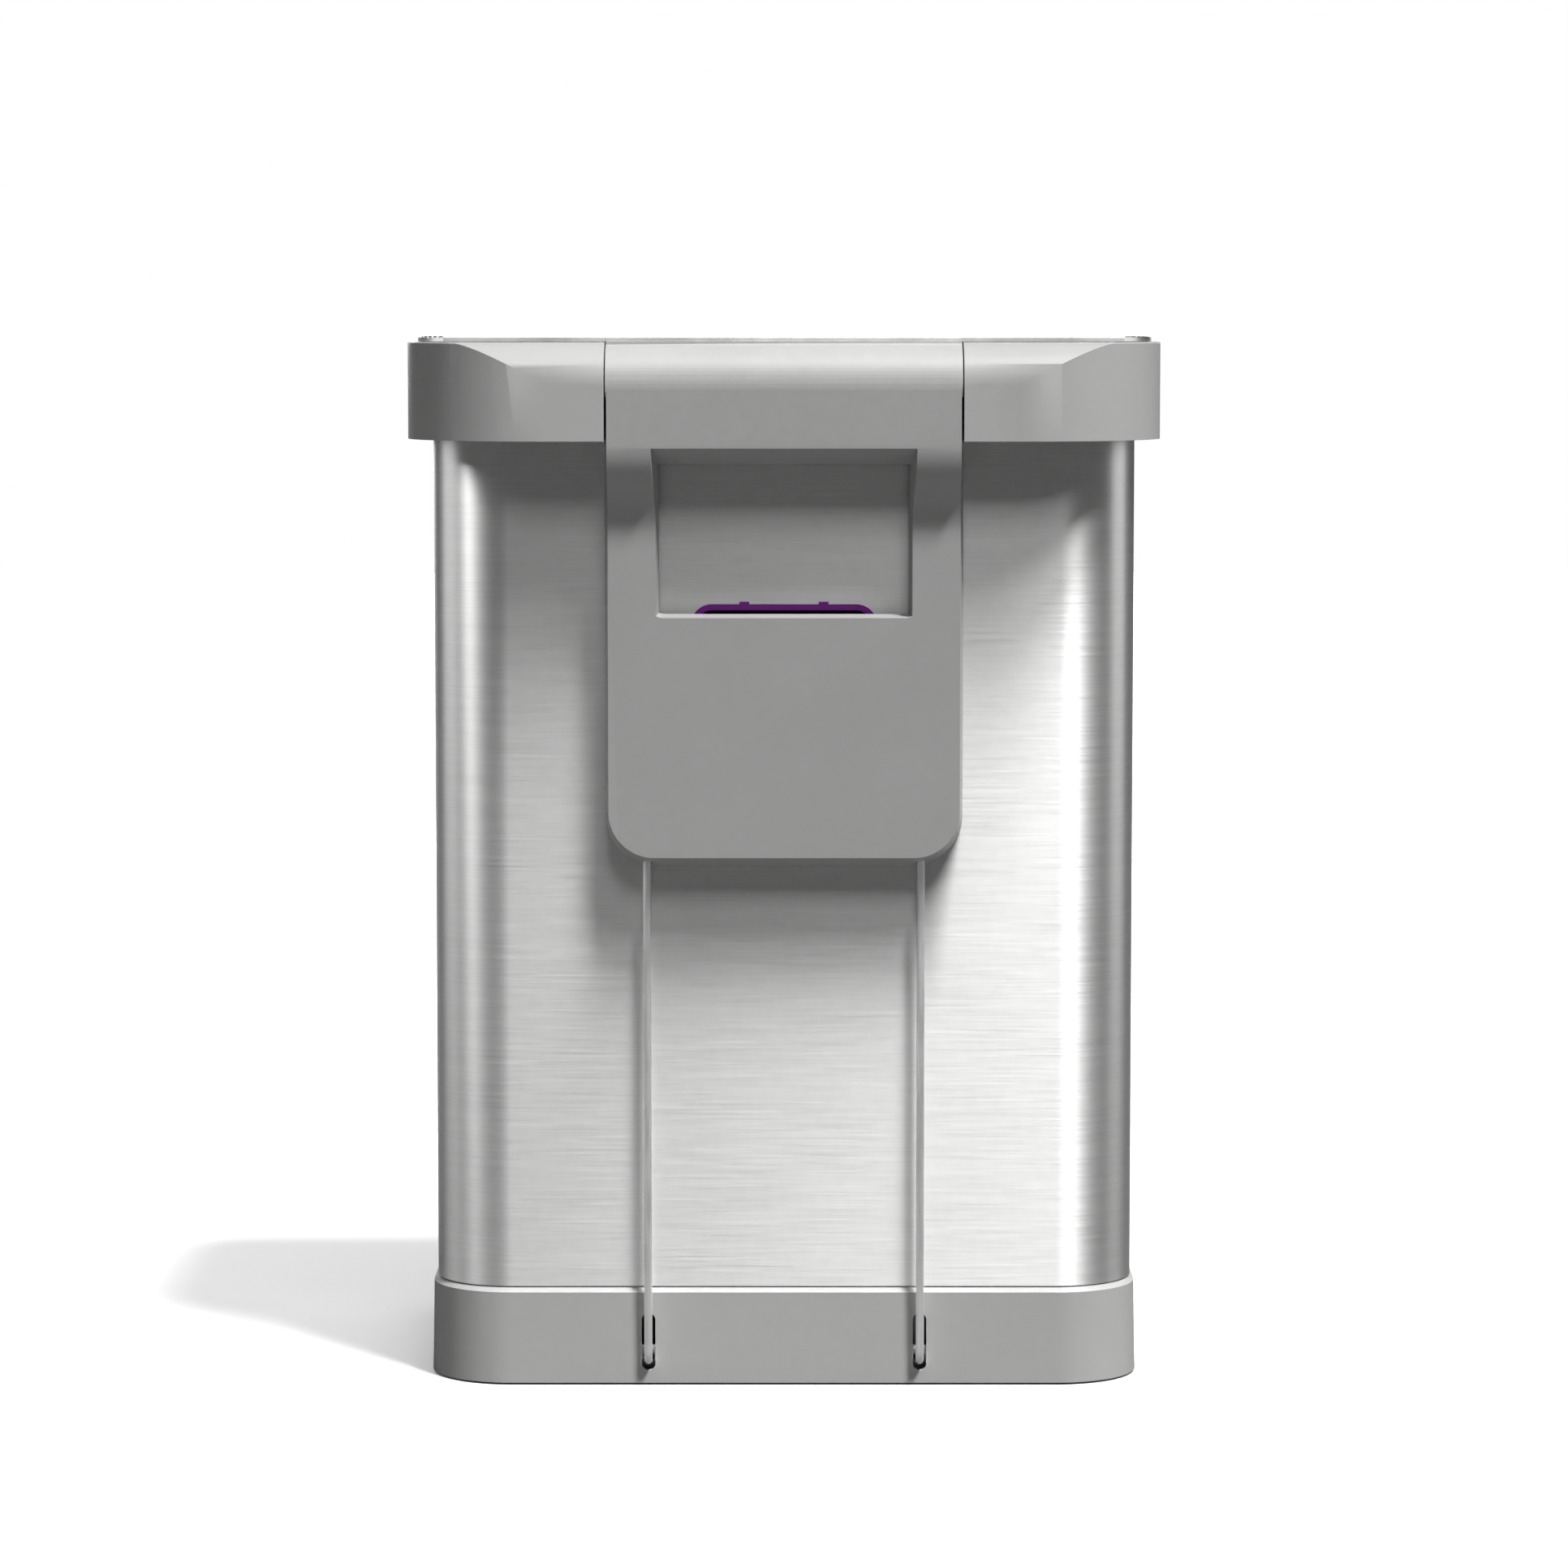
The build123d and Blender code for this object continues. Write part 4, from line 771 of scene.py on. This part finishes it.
def wire_tree():
    tree, given, out = start_tree(
        "bent_wire", {"Radius": 0.002, "Bend": 0.004, "Sides": 16}, geometry_in=True)
    route = add(tree, "GeometryNodeMeshToCurve")
    bend = add(tree, "GeometryNodeFilletCurve", {"Count": 8, "Limit Radius": True}, mode="POLY")
    ring = add(tree, "GeometryNodeCurvePrimitiveCircle")
    tube = add(tree, "GeometryNodeCurveToMesh", {"Fill Caps": True})
    tree.links.new(given.outputs["Geometry"], route.inputs["Mesh"])
    tree.links.new(route.outputs[0], bend.inputs["Curve"])
    tree.links.new(given.outputs["Bend"], bend.inputs["Radius"])
    tree.links.new(given.outputs["Sides"], ring.inputs["Resolution"])
    tree.links.new(given.outputs["Radius"], ring.inputs["Radius"])
    tree.links.new(bend.outputs[0], tube.inputs["Curve"])
    tree.links.new(ring.outputs[0], tube.inputs["Profile Curve"])
    return end_tree(tree, given, out, tube.outputs[0])


WIRE_TREE = wire_tree()


WIRE_CREASE = 50


def bent_wires(name, routes, radius, bend, sides, finish):
    """Several wires in one piece, each along its own route."""
    points, edges = [], []
    for route in routes:
        start = len(points)
        points += [tuple(point) for point in route]
        edges += [(index, index + 1) for index in range(start, len(points) - 1)]
    values = {"Radius": radius, "Bend": bend, "Sides": sides}
    return smoothed(grown(name, WIRE_TREE, finish, values, points, edges), WIRE_CREASE)


ROD_RADIUS = 1.95
ROD_BEND = 4
ROD_SIDES = 20
rod_routes = []
for node in ("lift_rod_left", "lift_rod_right"):
    low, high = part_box(node)
    middle = (low.x + high.x) / 2
    back = high.y - ROD_RADIUS * MM
    foot = low.z + ROD_RADIUS * MM
    rod_routes.append([(middle, back, high.z), (middle, back, foot), (middle, low.y, foot)])
rods = bent_wires("lift_rods", rod_routes, ROD_RADIUS * MM, ROD_BEND * MM, ROD_SIDES,
                  FINISH["wire_steel"])
dress(rods, "lift_rod_left", "lift_rod_right")
steel_parts.objects.link(rods)
print("rods:", len(rods.data.polygons), "faces")


COIL_TURNS = 6
COIL_STEPS = 20
COIL_BEND = 0.1
COIL_SIDES = 8


def coil_route(left, right, middle, radius, leg):
    """Helix along X with a straight leg forwards at each end."""
    last = COIL_TURNS * COIL_STEPS
    points = [(left, middle.y - leg, middle.z + radius)]
    for step in range(last + 1):
        angle = math.radians(90) + step * math.tau / COIL_STEPS
        x = left + (right - left) * step / last
        points.append((x, middle.y + radius * math.cos(angle), middle.z + radius * math.sin(angle)))
    points.append((right, middle.y - leg, middle.z + radius))
    return points


def springs(node, wire, leg):
    """Coils in the places of a node's separate bodies."""
    routes = []
    for low, high in islands(node):
        radius = (high.z - low.z) / 2 - wire
        routes.append(coil_route(low.x + wire, high.x - wire, (low + high) / 2, radius, leg))
    spring = bent_wires(node + "_coil", routes, wire, COIL_BEND * MM, COIL_SIDES,
                        FINISH["wire_steel"])
    return dress(spring, node)


def islands(node):
    """Lowest and highest corner of each separate body in a node."""
    work = bmesh.new()
    work.from_mesh(frame["nodes"][node].data)
    bmesh.ops.remove_doubles(work, verts=work.verts, dist=MERGE_REACH)
    left, found = set(work.verts), []
    while left:
        group, edge = [], [left.pop()]
        while edge:
            vertex = edge.pop()
            group.append(vertex.co.copy())
            for link in vertex.link_edges:
                other = link.other_vert(vertex)
                if other in left:
                    left.discard(other)
                    edge.append(other)
        found.append((Vector(map(min, zip(*group))), Vector(map(max, zip(*group)))))
    work.free()
    return sorted(found, key=lambda pair: tuple(round(v, 5) for v in pair[0]))


for node, wire, leg in (("pedal_spring", 0.9, 22.0), ("press_springs", 0.8, 8.5)):
    spring = springs(node, wire * MM, leg * MM)
    print(spring.name, len(spring.data.polygons), "faces")

# %% [markdown]
# ## Screws
# Cross-head screws hold the housing, the hinge bracket, the base and the press head. A tree
# makes one screw with a domed head and a cut cross, and places a copy on every point of the
# piece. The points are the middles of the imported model's own screws.

# %% Drive the screws


def screw_tree():
    tree, given, out = start_tree("cross_head_screws", {
        "Head radius": 0.0034, "Head height": 0.0022, "Shank radius": 0.0015, "Shank length": 0.01,
        "Turn": (0.0, 0.0, 0.0)}, geometry_in=True)

    def lifted(shape, socket, sign):
        """The shape moved up or down by so many halves of a named input."""
        half = add(tree, "ShaderNodeMath", {1: 0.5 * sign}, operation="MULTIPLY")
        place = add(tree, "ShaderNodeCombineXYZ")
        move = add(tree, "GeometryNodeTransform")
        tree.links.new(given.outputs[socket], half.inputs[0])
        tree.links.new(half.outputs[0], place.inputs["Z"])
        tree.links.new(shape, move.inputs["Geometry"])
        tree.links.new(place.outputs[0], move.inputs["Translation"])
        return move.outputs[0]

    crown = add(tree, "ShaderNodeMath", {1: 0.78}, operation="MULTIPLY")
    head = add(tree, "GeometryNodeMeshCone", {"Vertices": 24, "Side Segments": 2})
    tree.links.new(given.outputs["Head radius"], crown.inputs[0])
    tree.links.new(crown.outputs[0], head.inputs["Radius Top"])
    tree.links.new(given.outputs["Head radius"], head.inputs["Radius Bottom"])
    tree.links.new(given.outputs["Head height"], head.inputs["Depth"])
    cross = add(tree, "GeometryNodeJoinGeometry")
    for way in ((1.05, 0.2, 1.1), (0.2, 1.05, 1.1)):
        size = add(tree, "ShaderNodeVectorMath", operation="SCALE")
        size.inputs[0].default_value = way
        bar = add(tree, "GeometryNodeMeshCube")
        tree.links.new(given.outputs["Head radius"], size.inputs["Scale"])
        tree.links.new(size.outputs[0], bar.inputs["Size"])
        tree.links.new(lifted(bar.outputs[0], "Head height", 2.0), cross.inputs[0])
    cut = add(tree, "GeometryNodeMeshBoolean", {"Self Intersection": True}, solver="EXACT",
              operation="DIFFERENCE")
    tree.links.new(head.outputs[0], cut.inputs["Mesh 1"])
    tree.links.new(cross.outputs[0], cut.inputs["Mesh 2"])
    shank = add(tree, "GeometryNodeMeshCylinder", {"Vertices": 12})
    tree.links.new(given.outputs["Shank radius"], shank.inputs["Radius"])
    tree.links.new(given.outputs["Shank length"], shank.inputs["Depth"])
    whole = add(tree, "GeometryNodeJoinGeometry")
    tree.links.new(cut.outputs["Mesh"], whole.inputs[0])
    tree.links.new(lifted(shank.outputs[0], "Shank length", -1.0), whole.inputs[0])
    copies = add(tree, "GeometryNodeInstanceOnPoints")
    tree.links.new(given.outputs["Geometry"], copies.inputs["Points"])
    tree.links.new(whole.outputs[0], copies.inputs["Instance"])
    tree.links.new(given.outputs["Turn"], copies.inputs["Rotation"])
    return end_tree(tree, given, out, copies.outputs[0])


SCREW_TREE = screw_tree()
HEAD_RADIUS = {"housing_screws": 3.4, "hinge_screws": 3.4, "base_screws": 3.4, "head_screws": 4.0}
HEAD_HEIGHT = 2.2
SHANK_RADIUS = 1.5
SHORTEST_SHANK = 0.3
# the axis and sense in which each set's heads face, and the turn that points +Z that way
FACING = {"housing_screws": (1, -1), "hinge_screws": (1, -1), "base_screws": (2, -1),
          "head_screws": (2, 1)}
TURN = {(1, -1): (math.radians(90), 0, 0), (2, -1): (math.radians(180), 0, 0), (2, 1): (0, 0, 0)}

for node, (axis, sign) in FACING.items():
    points = []
    for low, high in islands(node):
        point = (low + high) / 2
        outer = low[axis] if sign < 0 else high[axis]
        point[axis] = outer - sign * HEAD_HEIGHT * MM
        length = high[axis] - low[axis] - HEAD_HEIGHT * MM
        points.append(point)
    values = {"Head radius": HEAD_RADIUS[node] * MM, "Head height": HEAD_HEIGHT * MM,
              "Shank radius": SHANK_RADIUS * MM, "Shank length": max(length, SHORTEST_SHANK * MM),
              "Turn": TURN[(axis, sign)]}
    screws = smoothed(grown(node + "_set", SCREW_TREE, FINISH[SLOT_OF[node]], values, points))
    dress(screws, node)
    print(screws.name, len(points), "screws")

# %% [markdown]
# ## Pedal grip
# The steel pad has a few rubber ribs set in its top, so that a wet sole doesn't slip. A
# tree lays one rounded rib along X, repeats it along a line of points and tilts the row with
# the pedal.

# %% Lay the grip ribs
RIB_COUNT = 4
RIB_STEP = 4.4
RIB_RADIUS = 1.1
RIB_END_GAP = 8
FIRST_RIB = (0, 5.2 * MM, -0.35 * MM)
RIB_CREASE = 60
PEDAL_TILT = 5.0


def rib_tree():
    tree, given, out = start_tree("grip_ribs", {
        "Count": 4, "Step": (0.0, 0.004, 0.0), "Length": 0.08, "Radius": 0.001,
        "Place": (0.0, 0.0, 0.0), "Tilt": (0.0, 0.0, 0.0)})
    row = add(tree, "GeometryNodeMeshLine")
    rib = add(tree, "GeometryNodeMeshUVSphere", {"Segments": 12, "Rings": 8})
    squash = add(tree, "ShaderNodeCombineXYZ", {"Y": 1.0, "Z": 0.8})
    ratio = add(tree, "ShaderNodeMath", operation="DIVIDE")
    half = add(tree, "ShaderNodeMath", {1: 0.5}, operation="MULTIPLY")
    longer = add(tree, "GeometryNodeTransform")
    copies = add(tree, "GeometryNodeInstanceOnPoints")
    put = add(tree, "GeometryNodeTransform")
    tree.links.new(given.outputs["Count"], row.inputs["Count"])
    tree.links.new(given.outputs["Step"], row.inputs["Offset"])
    tree.links.new(given.outputs["Radius"], rib.inputs["Radius"])
    tree.links.new(given.outputs["Length"], half.inputs[0])
    tree.links.new(half.outputs[0], ratio.inputs[0])
    tree.links.new(given.outputs["Radius"], ratio.inputs[1])
    tree.links.new(ratio.outputs[0], squash.inputs["X"])
    tree.links.new(rib.outputs[0], longer.inputs["Geometry"])
    tree.links.new(squash.outputs[0], longer.inputs["Scale"])
    tree.links.new(row.outputs[0], copies.inputs["Points"])
    tree.links.new(longer.outputs[0], copies.inputs["Instance"])
    tree.links.new(copies.outputs[0], put.inputs["Geometry"])
    tree.links.new(given.outputs["Place"], put.inputs["Translation"])
    tree.links.new(given.outputs["Tilt"], put.inputs["Rotation"])
    return end_tree(tree, given, out, put.outputs[0])


low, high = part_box("pedal_pad")
pad_front = Vector((0, low.y, high.z))
tilt = math.radians(-PEDAL_TILT)
first = pad_front + Matrix.Rotation(tilt, 3, "X") @ Vector(FIRST_RIB)
ribs = grown("pedal_grip_ribs", rib_tree(), FINISH["rubber"], {
    "Count": RIB_COUNT, "Step": (0.0, RIB_STEP * MM, 0.0),
    "Length": high.x - low.x - 2 * RIB_END_GAP * MM,
    "Radius": RIB_RADIUS * MM, "Place": first, "Tilt": (tilt, 0.0, 0.0)})
smoothed(ribs, RIB_CREASE)
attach(ribs, "pedal")
print("grip ribs:", RIB_COUNT, "ribs,", len(ribs.data.polygons), "faces")

# %% [markdown]
# ## Last look
# Whatever still shows as an imported node takes its slot's finish too.

# %% Finish the remaining nodes
plain = 0
for node, thing in frame["nodes"].items():
    if not thing.hide_render:
        thing.material_slots[0].material = FINISH[SLOT_OF[node]]
        plain += 1
print("nodes kept as packed:", plain)
